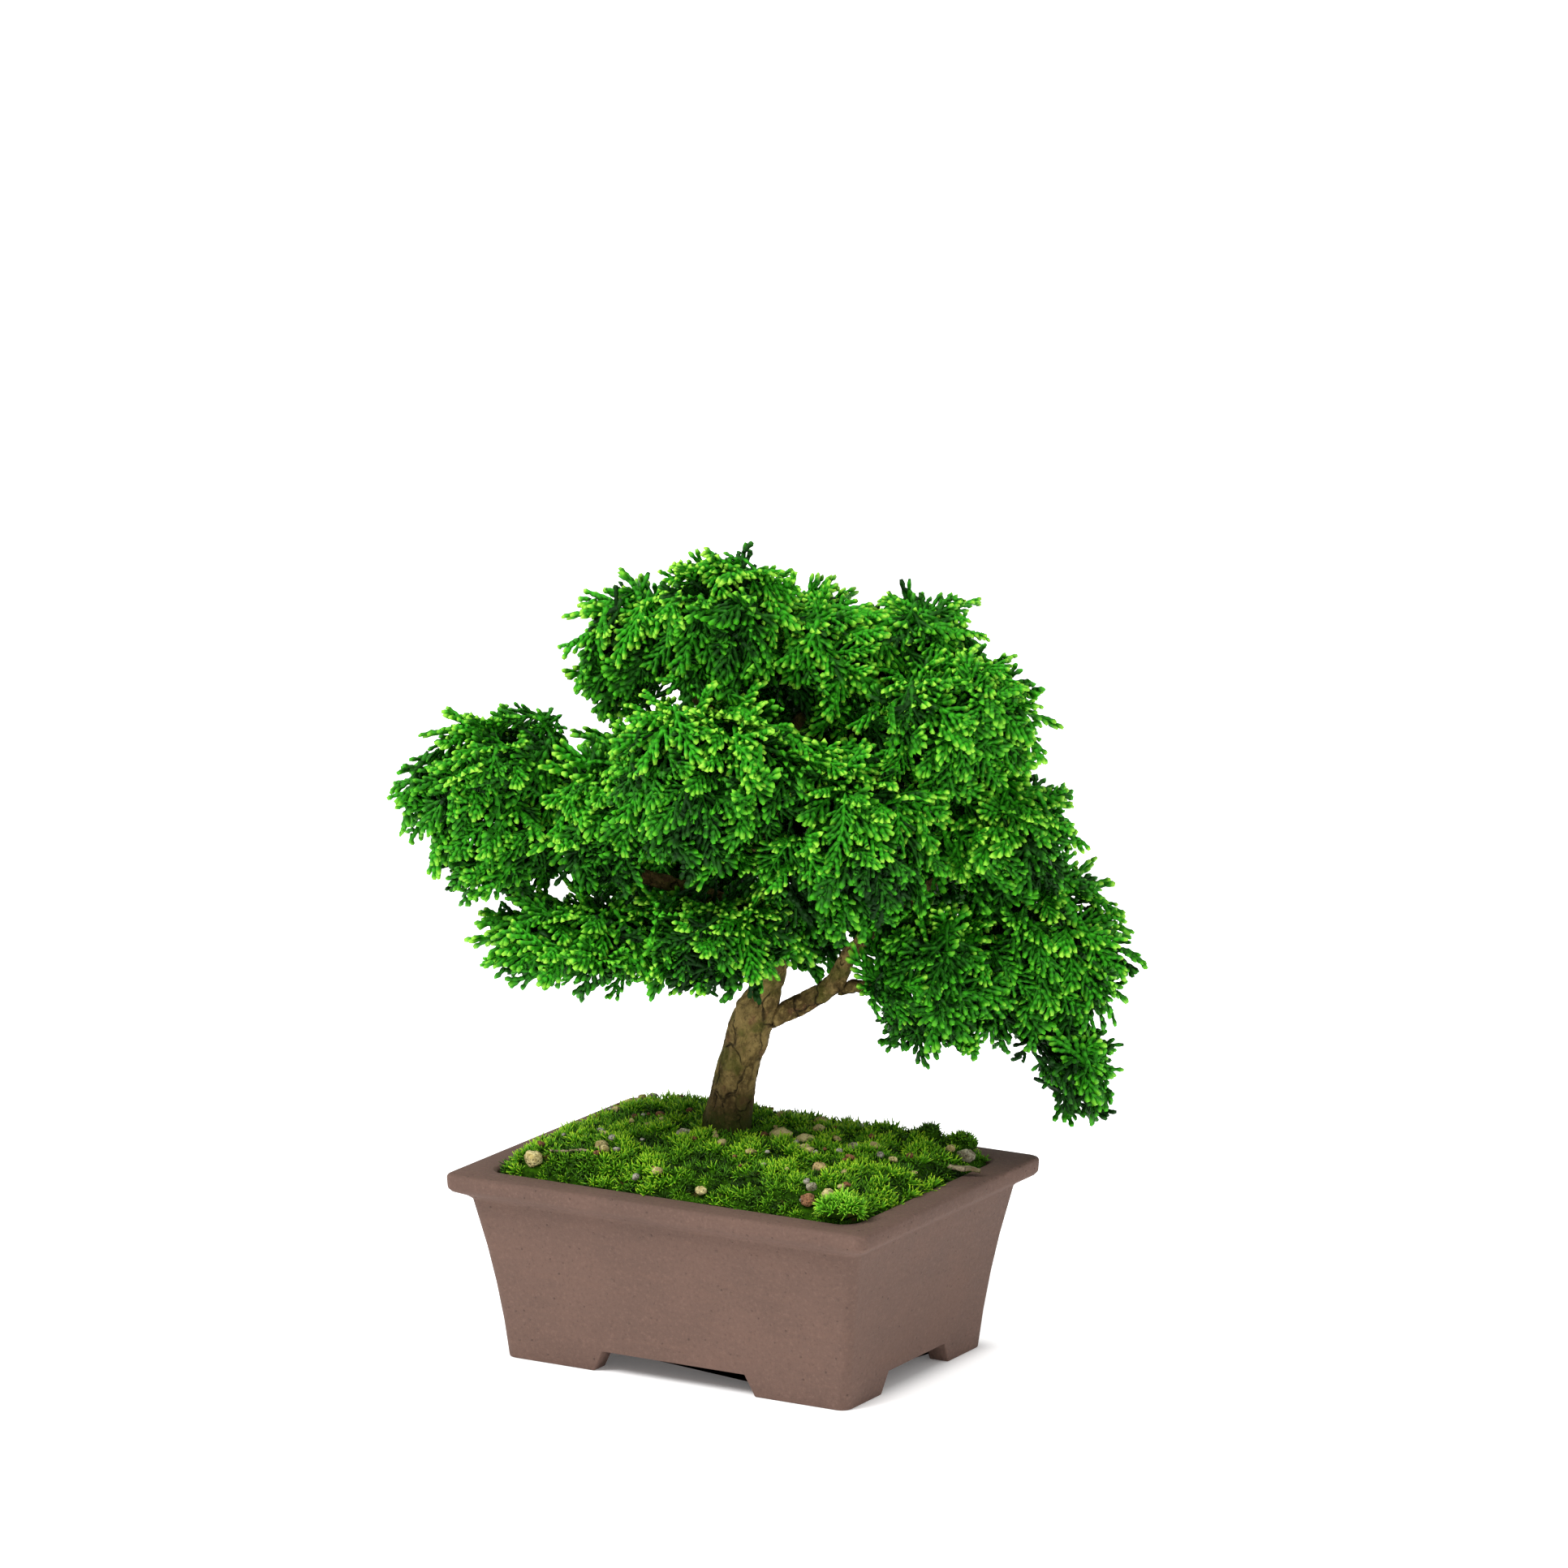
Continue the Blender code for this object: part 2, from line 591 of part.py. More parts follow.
def carpet(bm, rings, height):
    """Rings from the wall to the ridge in the middle, closed there."""
    half_x = POT_LENGTH / 2 - RIM_WIDTH - FIT_GAP
    half_y = POT_WIDTH / 2 - RIM_WIDTH - FIT_GAP
    made = []
    for i in range(rings):
        out = 1 - i / (rings - 0.4)
        inner = half_y * (1 - out)
        radius = min(half_y - inner, CAVITY_CORNER_RADIUS * out + half_y * 0.5 * (1 - out))
        radius = max(radius, 0.0005)
        made.append(even_ring(bm, half_x - inner, half_y - inner, radius, height,
                              MOSS_AROUND))
    return made


def make_soil(screens, clips):
    bm = bmesh.new()
    top = carpet(bm, SOIL_RINGS, soil_height)
    half_x = POT_LENGTH / 2 - FIT_GAP
    half_y = POT_WIDTH / 2 - FIT_GAP
    walls = []
    for z in (POT_HEIGHT - COVE_HEIGHT, (POT_HEIGHT - COVE_HEIGHT + FLOOR_TOP) / 2,
              FLOOR_TOP + GAP):
        inset = cavity_inset(z)
        walls.append(even_ring(bm, half_x - inset, half_y - inset, CAVITY_CORNER_RADIUS,
                               lambda x, y, z=z: z, MOSS_AROUND))
    loft(bm, [*reversed(top), *walls])
    soil = finish(bm, "soil", "soil", 0.95)
    tools = []
    room = 2 * GAP
    for piece in (*screens, *clips):
        corners = [v.co for v in piece.data.vertices]
        low = Vector([min(c[i] for c in corners) - room for i in range(3)])
        high = Vector([max(c[i] for c in corners) + room for i in range(3)])
        if piece in clips:
            leg = screen_pitch() + CLIP_WIRE
            middle = (low.x + high.x) / 2
            low.x, high.x = middle - leg, middle + leg
        low.z = 0
        tools.append(cutter(block(low, high)))
    cut(soil, tools)
    return soil


def make_moss():
    bm = bmesh.new()
    top = carpet(bm, MOSS_RINGS, moss_height)
    under = carpet(bm, SOIL_RINGS, lambda x, y: soil_height(x, y) + GAP)
    loft(bm, [*reversed(top), *under])
    return finish(bm, "moss_carpet", "moss", 0.95)


def lump(name, finish_name, place, radii, seed, rough=0.9, around=0, wobble=0.16, turn=0.0,
         grain=0.9):
    """A closed uneven lump: a ball pushed in and out by smooth noise, then stretched."""
    bm = bmesh.new()
    if around:
        bmesh.ops.create_uvsphere(bm, u_segments=around, v_segments=LUMP_BANDS, radius=1.0)
    else:
        bmesh.ops.create_icosphere(bm, subdivisions=2, radius=1.0)
    for vert in bm.verts:
        push = noise.noise(vert.co * grain + Vector((seed, seed * 0.37, -seed)))
        vert.co *= 1 + wobble * 2 * push
    bmesh.ops.scale(bm, vec=Vector(radii), verts=bm.verts[:])
    bmesh.ops.rotate(bm, matrix=Matrix.Rotation(turn, 3, "Z"), verts=bm.verts[:])
    bmesh.ops.translate(bm, vec=Vector(place), verts=bm.verts[:])
    return finish(bm, name, finish_name, rough)


def make_stones():
    stones = []
    for i, (name, (x, y, size, flat, tone)) in enumerate(STONES.items()):
        (x, y), size = on_moss(x, y), size * MM
        tall = size * flat
        z = moss_height(x, y) + tall * (1 - 2 * STONE_SINK)
        radii = (size, size * 0.78, tall)
        stones.append(lump(name, tone, (x, y, z), radii, 3.1 + 1.7 * i, 0.9, 0, 0.15, 0.9 * i,
                           1.3))
    return stones


def make_moss_cushions():
    """Three plants of other mosses that stand up from the carpet."""
    made = []
    for i, (name, (tone, x, y, radii, lift)) in enumerate(CUSHIONS.items()):
        radii = [r * MM for r in radii]
        x, y = on_moss(x, y)
        z = moss_height(x, y) + radii[2] * lift
        made.append(lump(name, tone, (x, y, z), radii, 20 + i, 0.95, 0, 0.12, 0.4 * i,
                         1.6))
    return made


def make_litter():
    """A flake of bark across the moss and the rim, and a bit of dry twig."""
    bm = bmesh.new()
    bmesh.ops.create_cube(bm, size=1.0)
    bmesh.ops.scale(bm, vec=(FLAKE_LENGTH, FLAKE_WIDTH, FLAKE_THICKNESS), verts=bm.verts[:])
    long_edges = [e for e in bm.edges if e.calc_length() > 0.9 * FLAKE_LENGTH]
    bmesh.ops.subdivide_edges(bm, edges=long_edges, cuts=5, use_grid_fill=True)
    for vert in bm.verts:
        taper = 1 - 0.45 * abs(vert.co.x / (FLAKE_LENGTH / 2)) ** 2
        vert.co.y *= taper * (1 + 0.25 * noise.noise(vert.co / 0.003))
        vert.co.z += FLAKE_CURL * math.sin(vert.co.x / 0.0026)
    turn = Matrix.Rotation(FLAKE_TURN, 3, "Z") @ Matrix.Rotation(FLAKE_TILT, 3, "Y")
    bmesh.ops.rotate(bm, matrix=turn, verts=bm.verts[:])
    place = Vector((*on_moss(*FLAKE_PLACE), POT_HEIGHT + FLAKE_OVER_RIM))
    bmesh.ops.translate(bm, vec=place, verts=bm.verts[:])
    chip = finish(bm, "bark_chip", "bark_chip", 0.9)

    half = TWIG_HALF_LENGTH
    x, y = on_moss(*TWIG_PLACE)
    level = moss_height(x, y) + TWIG_OVER_MOSS
    route = [Vector((x + half * s, y + 0.3 * half * s, level + TWIG_RADIUS * math.sin(2.2 * s),
                     TWIG_RADIUS)) for s in (-1, -0.5, 0, 0.5, 1)]
    twig = finish(sweep(route, 6), "dry_twig", "bark_chip", 0.9)
    return [chip, twig]


# ---------------------------------------------------------------- the tree
def tree_point(across, back, up):
    """From the tree's own frame, in mm above the moss, to the pot's frame in metres."""
    flat = Matrix.Rotation(TREE_TURN, 3, "Z") @ Vector((across, back, 0)) * MM * TREE_SCALE
    return Vector((flat.x, flat.y, MOSS_AT_TRUNK + up * MM * TREE_SCALE))


def wood_route(points, thickness):
    made = []
    for across, back, up, radius in points:
        place = tree_point(across, back, up)
        made.append(Vector((*place, radius * MM * TREE_SCALE * thickness)))
    return smooth_route(made, SWEEP_STEP * TREE_SCALE)


def make_trunk():
    bm = sweep(wood_route(TRUNK_POINTS, TRUNK_THICKNESS), TRUNK_SIDES)
    bm.normal_update()
    for vert in bm.verts:
        above = vert.co.z - MOSS_AT_TRUNK
        flare = max(0.0, 1 - max(above, -0.001) / 0.014)
        ridge = noise.noise(Vector((vert.co.x, vert.co.y, vert.co.z * 0.35)) / 0.009)
        vert.co += vert.normal * ridge * (0.0009 + 0.0022 * flare)
    return finish(bm, "trunk", "bark", 0.9)


def make_limbs(trunk):
    """Every limb stops just short of the wood it grows from.  Returns each with its route."""
    limbs = {}
    for name, (source, points) in LIMBS.items():
        route = wood_route(points, LIMB_THICKNESS)
        limb = finish(sweep(route, LIMB_SIDES), name, "bark", 0.9)
        if source == "trunk":
            cut(limb, [grown(trunk)])
        else:
            cut(limb, [grown_bar(limbs[source][1], LIMB_SIDES)])
        limbs[name] = (limb, route)
    return limbs


def make_foliage(trunk, limbs):
    """The masses of leaf sprays: each gives way to the wood and to the masses before it."""
    masses = []
    for i, (name, (place, radii)) in enumerate(FOLIAGE.items()):
        size = [r * MM * TREE_SCALE * FOLIAGE_FULLNESS for r in radii]
        mass = lump(name, "foliage", tree_point(*place), size, 41.3 + 2.9 * i, 0.6,
                    FOLIAGE_SIDES, 0.13, TREE_TURN, 1.7)
        masses.append(mass)
    whole = [m.data.copy() for m in masses]
    for i, mass in enumerate(masses):
        tools = []
        for earlier in range(i):
            other = bpy.data.objects.new("neighbour", whole[earlier])
            if meets(mass, other):
                tools.append(grown(other))
            bpy.data.objects.remove(other)
        if meets(mass, trunk):
            tools.append(grown(trunk))
        for limb, route in limbs.values():
            if meets(mass, limb):
                tools.append(grown_bar(route, LIMB_SIDES))
        if tools:
            cut(mass, tools)
    for mesh in whole:
        bpy.data.meshes.remove(mesh)
    return masses


def stand_on_origin():
    """Move the whole model level, so that the middle of its box is over the origin."""
    pieces = [thing for thing in bpy.data.objects if thing.type == "MESH"]
    for axis in (0, 1):
        reach = [vert.co[axis] for piece in pieces for vert in piece.data.vertices]
        middle = (min(reach) + max(reach)) / 2
        for piece in pieces:
            piece.location[axis] = -middle


def main():
    for thing in list(bpy.data.objects):
        bpy.data.objects.remove(thing)
    make_pot()
    screens = [make_screen(f"drain_screen_{side}", x)
               for side, x in (("left", -DRAIN_SPACING / 2), ("right", DRAIN_SPACING / 2))]
    clips = [make_clip(f"screen_clip_{side}", x)
             for side, x in (("left", -DRAIN_SPACING / 2), ("right", DRAIN_SPACING / 2))]
    soil = make_soil(screens, clips)
    moss = make_moss()
    trunk = make_trunk()
    cut(soil, [grown(trunk)])
    cushions = make_moss_cushions()
    stones = make_stones()
    litter = make_litter()
    cut(moss, [grown(p) for p in (trunk, *cushions, *stones, *litter) if meets(moss, p)])
    limbs = make_limbs(trunk)
    make_foliage(trunk, limbs)
    stand_on_origin()


main()
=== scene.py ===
import json
import math
import random

import bmesh
import bpy
import numpy as np
from bpy.props import FloatProperty, FloatVectorProperty, PointerProperty
from bpy.types import Operator, Panel, PropertyGroup
from mathutils import Matrix, Vector, noise
from mathutils.bvhtree import BVHTree


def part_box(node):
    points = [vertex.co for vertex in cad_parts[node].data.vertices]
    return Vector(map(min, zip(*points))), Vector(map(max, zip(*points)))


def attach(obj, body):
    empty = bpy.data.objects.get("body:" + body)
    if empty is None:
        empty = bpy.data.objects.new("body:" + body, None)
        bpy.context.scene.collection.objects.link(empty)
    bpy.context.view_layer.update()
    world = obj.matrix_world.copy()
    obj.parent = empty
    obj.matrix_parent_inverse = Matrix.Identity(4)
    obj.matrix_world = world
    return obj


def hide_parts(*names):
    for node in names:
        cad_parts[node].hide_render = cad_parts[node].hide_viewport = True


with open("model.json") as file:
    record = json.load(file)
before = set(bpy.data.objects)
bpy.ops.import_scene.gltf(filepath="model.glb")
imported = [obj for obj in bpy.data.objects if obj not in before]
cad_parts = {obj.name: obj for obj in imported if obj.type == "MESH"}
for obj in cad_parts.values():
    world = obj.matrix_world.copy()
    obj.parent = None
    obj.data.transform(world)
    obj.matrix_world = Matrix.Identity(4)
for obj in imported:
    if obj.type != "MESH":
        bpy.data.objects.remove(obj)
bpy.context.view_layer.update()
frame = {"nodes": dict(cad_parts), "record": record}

bl_info = {
    "name": "Bonsai in a clay pot",
    "version": (1, 0, 0),
    "blender": (4, 5, 0),
    "location": "3D View > Sidebar > Bonsai",
    "description": "Dresses the bonsai's solid model with leaves, bark, moss, stones and clay",
    "category": "Add Mesh",
}

UP = Vector((0, 0, 1))
NODES = frame["nodes"]
FOLIAGE = sorted(n for n in NODES if n.startswith("foliage_"))
LIMBS = sorted(n for n in NODES if n.startswith("limb_"))
STONES = sorted(n for n in NODES if n.startswith("stone_"))
SLOT_OF = {part["node"]: part["material_slot"] for part in frame["record"]["subparts"]}
STRAND_MAP = "OFBake"       # u runs from a strand's root to its tip, v is the strand's tone, which also carries painted light and shade

# The camera stands this way and this far from a point over the pot.
VIEW_AZIMUTH = math.radians(30.18)
VIEW_ELEVATION = math.radians(12.22)
VIEW_DISTANCE = 3.511
VIEW_LENS = 196.7           # millimetres, on a sensor 36 mm wide
VIEW_SENSOR = 36.0
AIM_ASIDE = 0.01917         # from the pot's middle, towards +X
AIM_HEIGHT = 0.24386

# Each lamp's name, strength, angular width in degrees, and the way it lies from the tree.
LAMPS = (
    ("key", 2.7, 28, Vector((-0.34, -0.62, 0.95))),
    ("fill", 0.42, 60, Vector((0.9, -0.35, 0.5))),
)
SKY_LIGHT = 0.5
SKY_SEEN = 1.1
FLOOR_RADIUS = 14.0
FLOOR_GLOW = 0.7
FEET_INSET = 0.022          # the feet stand this far inside the rim
PAINTED_SHADOW_REACH = 0.016         # the floor's glow is painted dark within this distance of the feet: a painted shadow under the pot

# Moss swells and grows longer in lumps of these two sizes.
MOSS_LUMP = 0.0080
MOSS_LUMPLET = 0.0036
MOSS_BED_FACES = 7000
MOSS_ROOT_SINK = 0.0004
STONE_CLEARING = 0.006      # the stars grow short within this distance of a stone

# Leaves: where fans start, and what hides them.
BUTTED_DEPTH = 0.002        # a fan this deep inside the next mass isn't grown
BUTTED_PROBE = 0.004        # tested this far above the fan's point
FAN_ROOT_SINK = 0.003
INNER_SINK = 0.008          # the inner fans, which take painted shade, start this much deeper
INNER_SPACING = 1.45        # and stand this much wider apart
# The inner fans' tone is scaled down by this: painted shade.
INNER_PAINTED_SHADE = 0.2
FORK_WINDOW = 0.030         # no leaves within this distance of the low limb's fork
FORK_FROM_CORNER = Vector((0.012, 0.004, -0.004))


def tone(red, green, blue):
    """A colour as a paint chart gives it, turned to the linear light that shaders use."""
    linear = []
    for part in (red, green, blue):
        share = part / 255
        linear.append(share / 12.92 if share <= 0.04045 else ((share + 0.055) / 1.055) ** 2.4)
    return (*linear, 1.0)


# ---------------------------------------------------------------- settings
class BonsaiSizes(PropertyGroup):
    spray_length: FloatProperty(
        name="Spray length", description="Length of one flat fan of scale leaves",
        default=0.0300, unit="LENGTH")
    spray_spacing: FloatProperty(
        name="Spray spacing", description="Least distance between two fans on a mass of leaves",
        default=0.0076, unit="LENGTH")
    rosette_spacing: FloatProperty(
        name="Rosette spacing", description="Distance between the tufts that fans spread out from",
        default=0.0230, unit="LENGTH")
    branchlet_width: FloatProperty(
        name="Branchlet width", description="Width of one beaded branchlet",
        default=0.0027, unit="LENGTH")
    stand_proud: FloatProperty(
        name="Stand proud", description="How far the tips may reach out of the solid mass",
        default=0.0100, unit="LENGTH")
    tuft_spacing: FloatProperty(
        name="Tuft spacing", description="Least distance between two stars of moss",
        default=0.0019, unit="LENGTH")
    tuft_height: FloatProperty(
        name="Tuft height", description="Height of one star of moss",
        default=0.0036, unit="LENGTH")
    edge_wear: FloatProperty(
        name="Edge wear", description="Width of the rounded edges of the clay",
        default=0.0006, unit="LENGTH")
    bark_depth: FloatProperty(
        name="Bark depth", description="Depth of the cracks in the bark",
        default=0.0007, unit="LENGTH")


class BonsaiColours(PropertyGroup):
    clay: FloatVectorProperty(
        name="Clay", description="Fired clay of the pot", subtype="COLOR", size=4,
        default=tone(102, 79, 69), min=0, max=1)
    leaf: FloatVectorProperty(
        name="Leaf", description="Full-grown scale leaves", subtype="COLOR", size=4,
        default=tone(58, 172, 20), min=0, max=1)
    tip: FloatVectorProperty(
        name="Tip", description="Fresh tips of the leaves", subtype="COLOR", size=4,
        default=tone(172, 240, 72), min=0, max=1)
    moss: FloatVectorProperty(
        name="Moss", description="Moss on the soil", subtype="COLOR", size=4,
        default=tone(92, 164, 10), min=0, max=1)
    bark: FloatVectorProperty(
        name="Bark", description="Weathered bark", subtype="COLOR", size=4,
        default=tone(146, 124, 76), min=0, max=1)


# ---------------------------------------------------------------- shaders
class Value:
    """A socket of a shader tree. Arithmetic on it adds Math nodes."""

    def __init__(self, shader, socket):
        self.shader = shader
        self.socket = socket

    def math(self, operation, *others):
        return self.shader.node("ShaderNodeMath", {"operation": operation},
                                dict(enumerate(others)))

    def __add__(self, other):
        return self.math("ADD", self, other)

    __radd__ = __add__

    def __sub__(self, other):
        return self.math("SUBTRACT", self, other)

    def __rsub__(self, other):
        return self.math("SUBTRACT", other, self)

    def __mul__(self, other):
        return self.math("MULTIPLY", self, other)

    __rmul__ = __mul__

    def __pow__(self, other):
        return self.math("POWER", self, other)

    def between(self, low, high):
        """0 below low, 1 above high, smooth in between."""
        return self.shader.node("ShaderNodeMapRange", {"interpolation_type": "SMOOTHSTEP"},
                                {"Value": self, "From Min": low, "From Max": high})


class Shader:
    """A material with one Principled surface, built from named nodes."""

    def __init__(self, name, roughness, **constants):
        self.material = bpy.data.materials.new(name)
        self.material.use_nodes = True
        self.tree = self.material.node_tree
        self.tree.nodes.clear()
        self.surface = self.tree.nodes.new("ShaderNodeBsdfPrincipled")
        self.surface.inputs["Roughness"].default_value = roughness
        for socket, value in constants.items():
            self.surface.inputs[socket.replace("_", " ")].default_value = value
        output = self.tree.nodes.new("ShaderNodeOutputMaterial")
        self.tree.links.new(self.surface.outputs[0], output.inputs["Surface"])

    def put(self, socket, value):
        if isinstance(value, Value):
            self.tree.links.new(value.socket, socket)
        else:
            socket.default_value = value

    def node(self, kind, settings=None, values=None, output=0):
        made = self.tree.nodes.new(kind)
        for setting, value in (settings or {}).items():
            setattr(made, setting, value)
        for socket, value in (values or {}).items():
            self.put(made.inputs[socket], value)
        return Value(self, made.outputs[output])

    def place(self):
        return self.node("ShaderNodeTexCoord", output="Object")

    def parts(self, vector):
        """The X, Y and Z of a vector, each as a value."""
        split = self.node("ShaderNodeSeparateXYZ", {}, {"Vector": vector})
        return [Value(self, socket) for socket in split.socket.node.outputs]

    def stretched(self, scale):
        return self.node("ShaderNodeMapping", {}, {"Vector": self.place(), "Scale": scale})

    def cloud(self, size, detail=3.0, rough=0.55, where=None):
        """Soft noise whose blotches are about this size."""
        return self.node("ShaderNodeTexNoise", {}, {
            "Vector": where or self.place(), "Scale": 1 / size, "Detail": detail,
            "Roughness": rough})

    def cells(self, size, feature="F1", where=None):
        return self.node("ShaderNodeTexVoronoi", {"feature": feature}, {
            "Vector": where or self.place(), "Scale": 1 / size})

    def mix(self, share, low, high):
        return self.node("ShaderNodeMix", {"data_type": "RGBA"}, {0: share, 6: low, 7: high},
                         output=2)

    def bump(self, height, depth, under=None):
        values = {"Height": height, "Distance": depth}
        if under is not None:
            values["Normal"] = under
        return self.node("ShaderNodeBump", {}, values)

    def finish(self, colour, roughness=None, normal=None):
        for socket, value in (("Base Color", colour), ("Roughness", roughness),
                              ("Normal", normal)):
            if value is not None:
                self.put(self.surface.inputs[socket], value)
        return self.material


def shade(colour, factor, shift=(1, 1, 1)):
    """A lighter or darker kin of a colour."""
    return (*[max(0.0, min(1.0, part * factor * by)) for part, by in zip(colour, shift)], 1.0)


# ---------------------------------------------------------------- piece helpers
def merged_copy(node):
    bm = bmesh.new()
    bm.from_mesh(NODES[node].data)
    bmesh.ops.remove_doubles(bm, verts=bm.verts[:], dist=0.00001)
    return bm


def soften(bm, sharpest):
    """Smooth shading, with edges past an angle left crisp."""
    for face in bm.faces:
        face.smooth = True
    for edge in bm.edges:
        if len(edge.link_faces) == 2:
            edge.smooth = edge.calc_face_angle(0) < math.radians(sharpest)


def make_piece(bm, name, material, slot, *replaced):
    mesh = bpy.data.meshes.new(name)
    bm.to_mesh(mesh)
    bm.free()
    piece = bpy.data.objects.new(name, mesh)
    bpy.context.collection.objects.link(piece)
    mesh.materials.append(material)
    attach(piece, "root")
    if replaced:
        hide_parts(*replaced)
    return piece


def remeshed(bm, voxel):
    """The same body with an even fine skin, so that detail can be pressed into it."""
    mesh = bpy.data.meshes.new("rough_body")
    bm.to_mesh(mesh)
    bm.free()
    body = bpy.data.objects.new("rough_body", mesh)
    bpy.context.collection.objects.link(body)
    skin = body.modifiers.new("skin", "REMESH")
    skin.mode = "VOXEL"
    skin.voxel_size = voxel
    shown = body.evaluated_get(bpy.context.evaluated_depsgraph_get())
    fine = bmesh.new()
    fine.from_mesh(shown.to_mesh())
    bpy.data.objects.remove(body)
    bpy.data.meshes.remove(mesh)
    return fine


def evened(bm, times):
    """Takes the steps out of a remeshed skin."""
    for _ in range(times):
        bmesh.ops.smooth_vert(bm, verts=bm.verts[:], factor=0.5, use_axis_x=True,
                              use_axis_y=True, use_axis_z=True)
    bm.normal_update()


def dress(node, material):
    """A CAD node that stays as it is takes a better finish."""
    mesh = NODES[node].data
    mesh.materials.clear()
    mesh.materials.append(material)


def scatter(faces, spacing, rng, tries, keep):
    """Points spread over faces by area, none closer together than the spacing."""
    areas = np.cumsum([face.calc_area() for face in faces])
    found, cells = [], {}
    for _ in range(int(areas[-1] / spacing ** 2 * tries)):
        face = faces[int(np.searchsorted(areas, rng.random() * areas[-1]))]
        a, b, c = [vert.co for vert in face.verts[:3]]
        s, t = rng.random(), rng.random()
        if s + t > 1:
            s, t = 1 - s, 1 - t
        point = a + (b - a) * s + (c - a) * t
        cell = tuple(int(part // spacing) for part in point)
        near = (other for dx in (-1, 0, 1) for dy in (-1, 0, 1) for dz in (-1, 0, 1)
                for other in cells.get((cell[0] + dx, cell[1] + dy, cell[2] + dz), ()))
        if any((other - point).length < spacing for other in near):
            continue
        normal = face.normal.copy()
        if keep(point, normal):
            cells.setdefault(cell, []).append(point)
            found.append((point, normal))
    return found


# ---------------------------------------------------------------- strands
def extruded_rod(bm, layer, frames, widths, flat, sides, marks, v):
    """A closed rod: a capped ring drawn out through the frames, each ring with its width."""
    ring = bmesh.ops.create_circle(bm, cap_ends=True, segments=sides, radius=1.0)["verts"]
    turn = Matrix.Rotation(math.radians(90), 4, "X")
    shapes = [place @ turn @ Matrix.Diagonal((width, width * flat, 1, 1))
              for place, width in zip(frames, widths)]
    bmesh.ops.transform(bm, matrix=shapes[0], verts=ring)
    u_of = {vert: marks[0] for vert in ring}
    cap = ring[0].link_faces[0]
    for i in range(1, len(shapes)):
        grown = bmesh.ops.extrude_face_region(bm, geom=[cap])["geom"]
        new = [part for part in grown if isinstance(part, bmesh.types.BMVert)]
        cap = next(part for part in grown if isinstance(part, bmesh.types.BMFace))
        bmesh.ops.transform(bm, matrix=shapes[i] @ shapes[i - 1].inverted(), verts=new)
        for vert in new:
            u_of[vert] = marks[i]
    for face in {face for vert in u_of for face in vert.link_faces}:
        for loop in face.loops:
            loop[layer].uv = (u_of[loop.vert], v)


def walk(start, length, steps, turn, droop):
    """Frames along a gently bent line that leaves the start frame along its own Y."""
    step = (Matrix.Translation((0, length / steps, 0)) @ Matrix.Rotation(turn / steps, 4, "Z")
            @ Matrix.Rotation(droop / steps, 4, "X"))
    frames = [start]
    for _ in range(steps):
        frames.append(frames[-1] @ step)
    return frames


def branchlet(bm, layer, start, length, width, beads, turn, droop, v):
    """Scale leaves threaded on a branchlet: a row of beads with a blunt tip."""
    frames = walk(start, length, 2 * beads, turn, droop)
    widths, marks = [0.6 * width / 2], [0.0]
    for bead in range(beads):
        last = bead == beads - 1
        widths += [(1.16 if last else 1.0) * width / 2, (0.66 if last else 0.74) * width / 2]
        marks += [0.75 if last else 0.25, 1.0 if last else 0.45]
    extruded_rod(bm, layer, frames, widths, 0.8, 3, marks, v)


def spray_template(rng, length, width, sides, forks):
    """One flat fan: a main branchlet with alternate side branchlets, the lower ones forked."""
    bm = bmesh.new()
    layer = bm.loops.layers.uv.new(STRAND_MAP)
    turn, droop = rng.uniform(-0.5, 0.5), rng.uniform(-0.9, -0.3)
    branchlet(bm, layer, Matrix.Identity(4), length, width, 7, turn, droop, 0.1)
    for k in range(sides):
        side = 1 if k % 2 else -1
        share = 0.14 + 0.70 * k / (sides - 1)
        place = walk(Matrix.Identity(4), length * share, 4, turn * share, droop * share)[-1]
        angle = side * math.radians(rng.uniform(36, 54) * (1 - 0.3 * share))
        lift = Matrix.Rotation(rng.uniform(-0.25, 0.25), 4, "X")
        start = place @ Matrix.Rotation(-angle, 4, "Z") @ lift
        long = length * (0.43 - 0.24 * share) * rng.uniform(0.82, 1.18)
        bend = side * rng.uniform(0.1, 0.6)
        v = 0.26 * share - 0.14 + rng.uniform(-0.08, 0.08)
        beads = max(2, min(4, round(long / (1.15 * width))))
        branchlet(bm, layer, start, long, width * rng.uniform(0.9, 1.05), beads, bend,
                  rng.uniform(-0.5, 0.0), v)
        if k < forks:
            fork = walk(start, long * 0.38, 2, bend * 0.4, 0)[-1]
            fork = fork @ Matrix.Rotation(-side * rng.uniform(0.5, 0.8), 4, "Z")
            branchlet(bm, layer, fork, long * 0.56, width * 0.92, 2, bend, -0.1, v)
    return template_mesh(bm, "spray")


def template_mesh(bm, name):
    bmesh.ops.triangulate(bm, faces=bm.faces[:])
    bmesh.ops.recalc_face_normals(bm, faces=bm.faces[:])
    for face in bm.faces:
        face.smooth = True
    mesh = bpy.data.meshes.new(name)
    bm.to_mesh(mesh)
    bm.free()
    return mesh


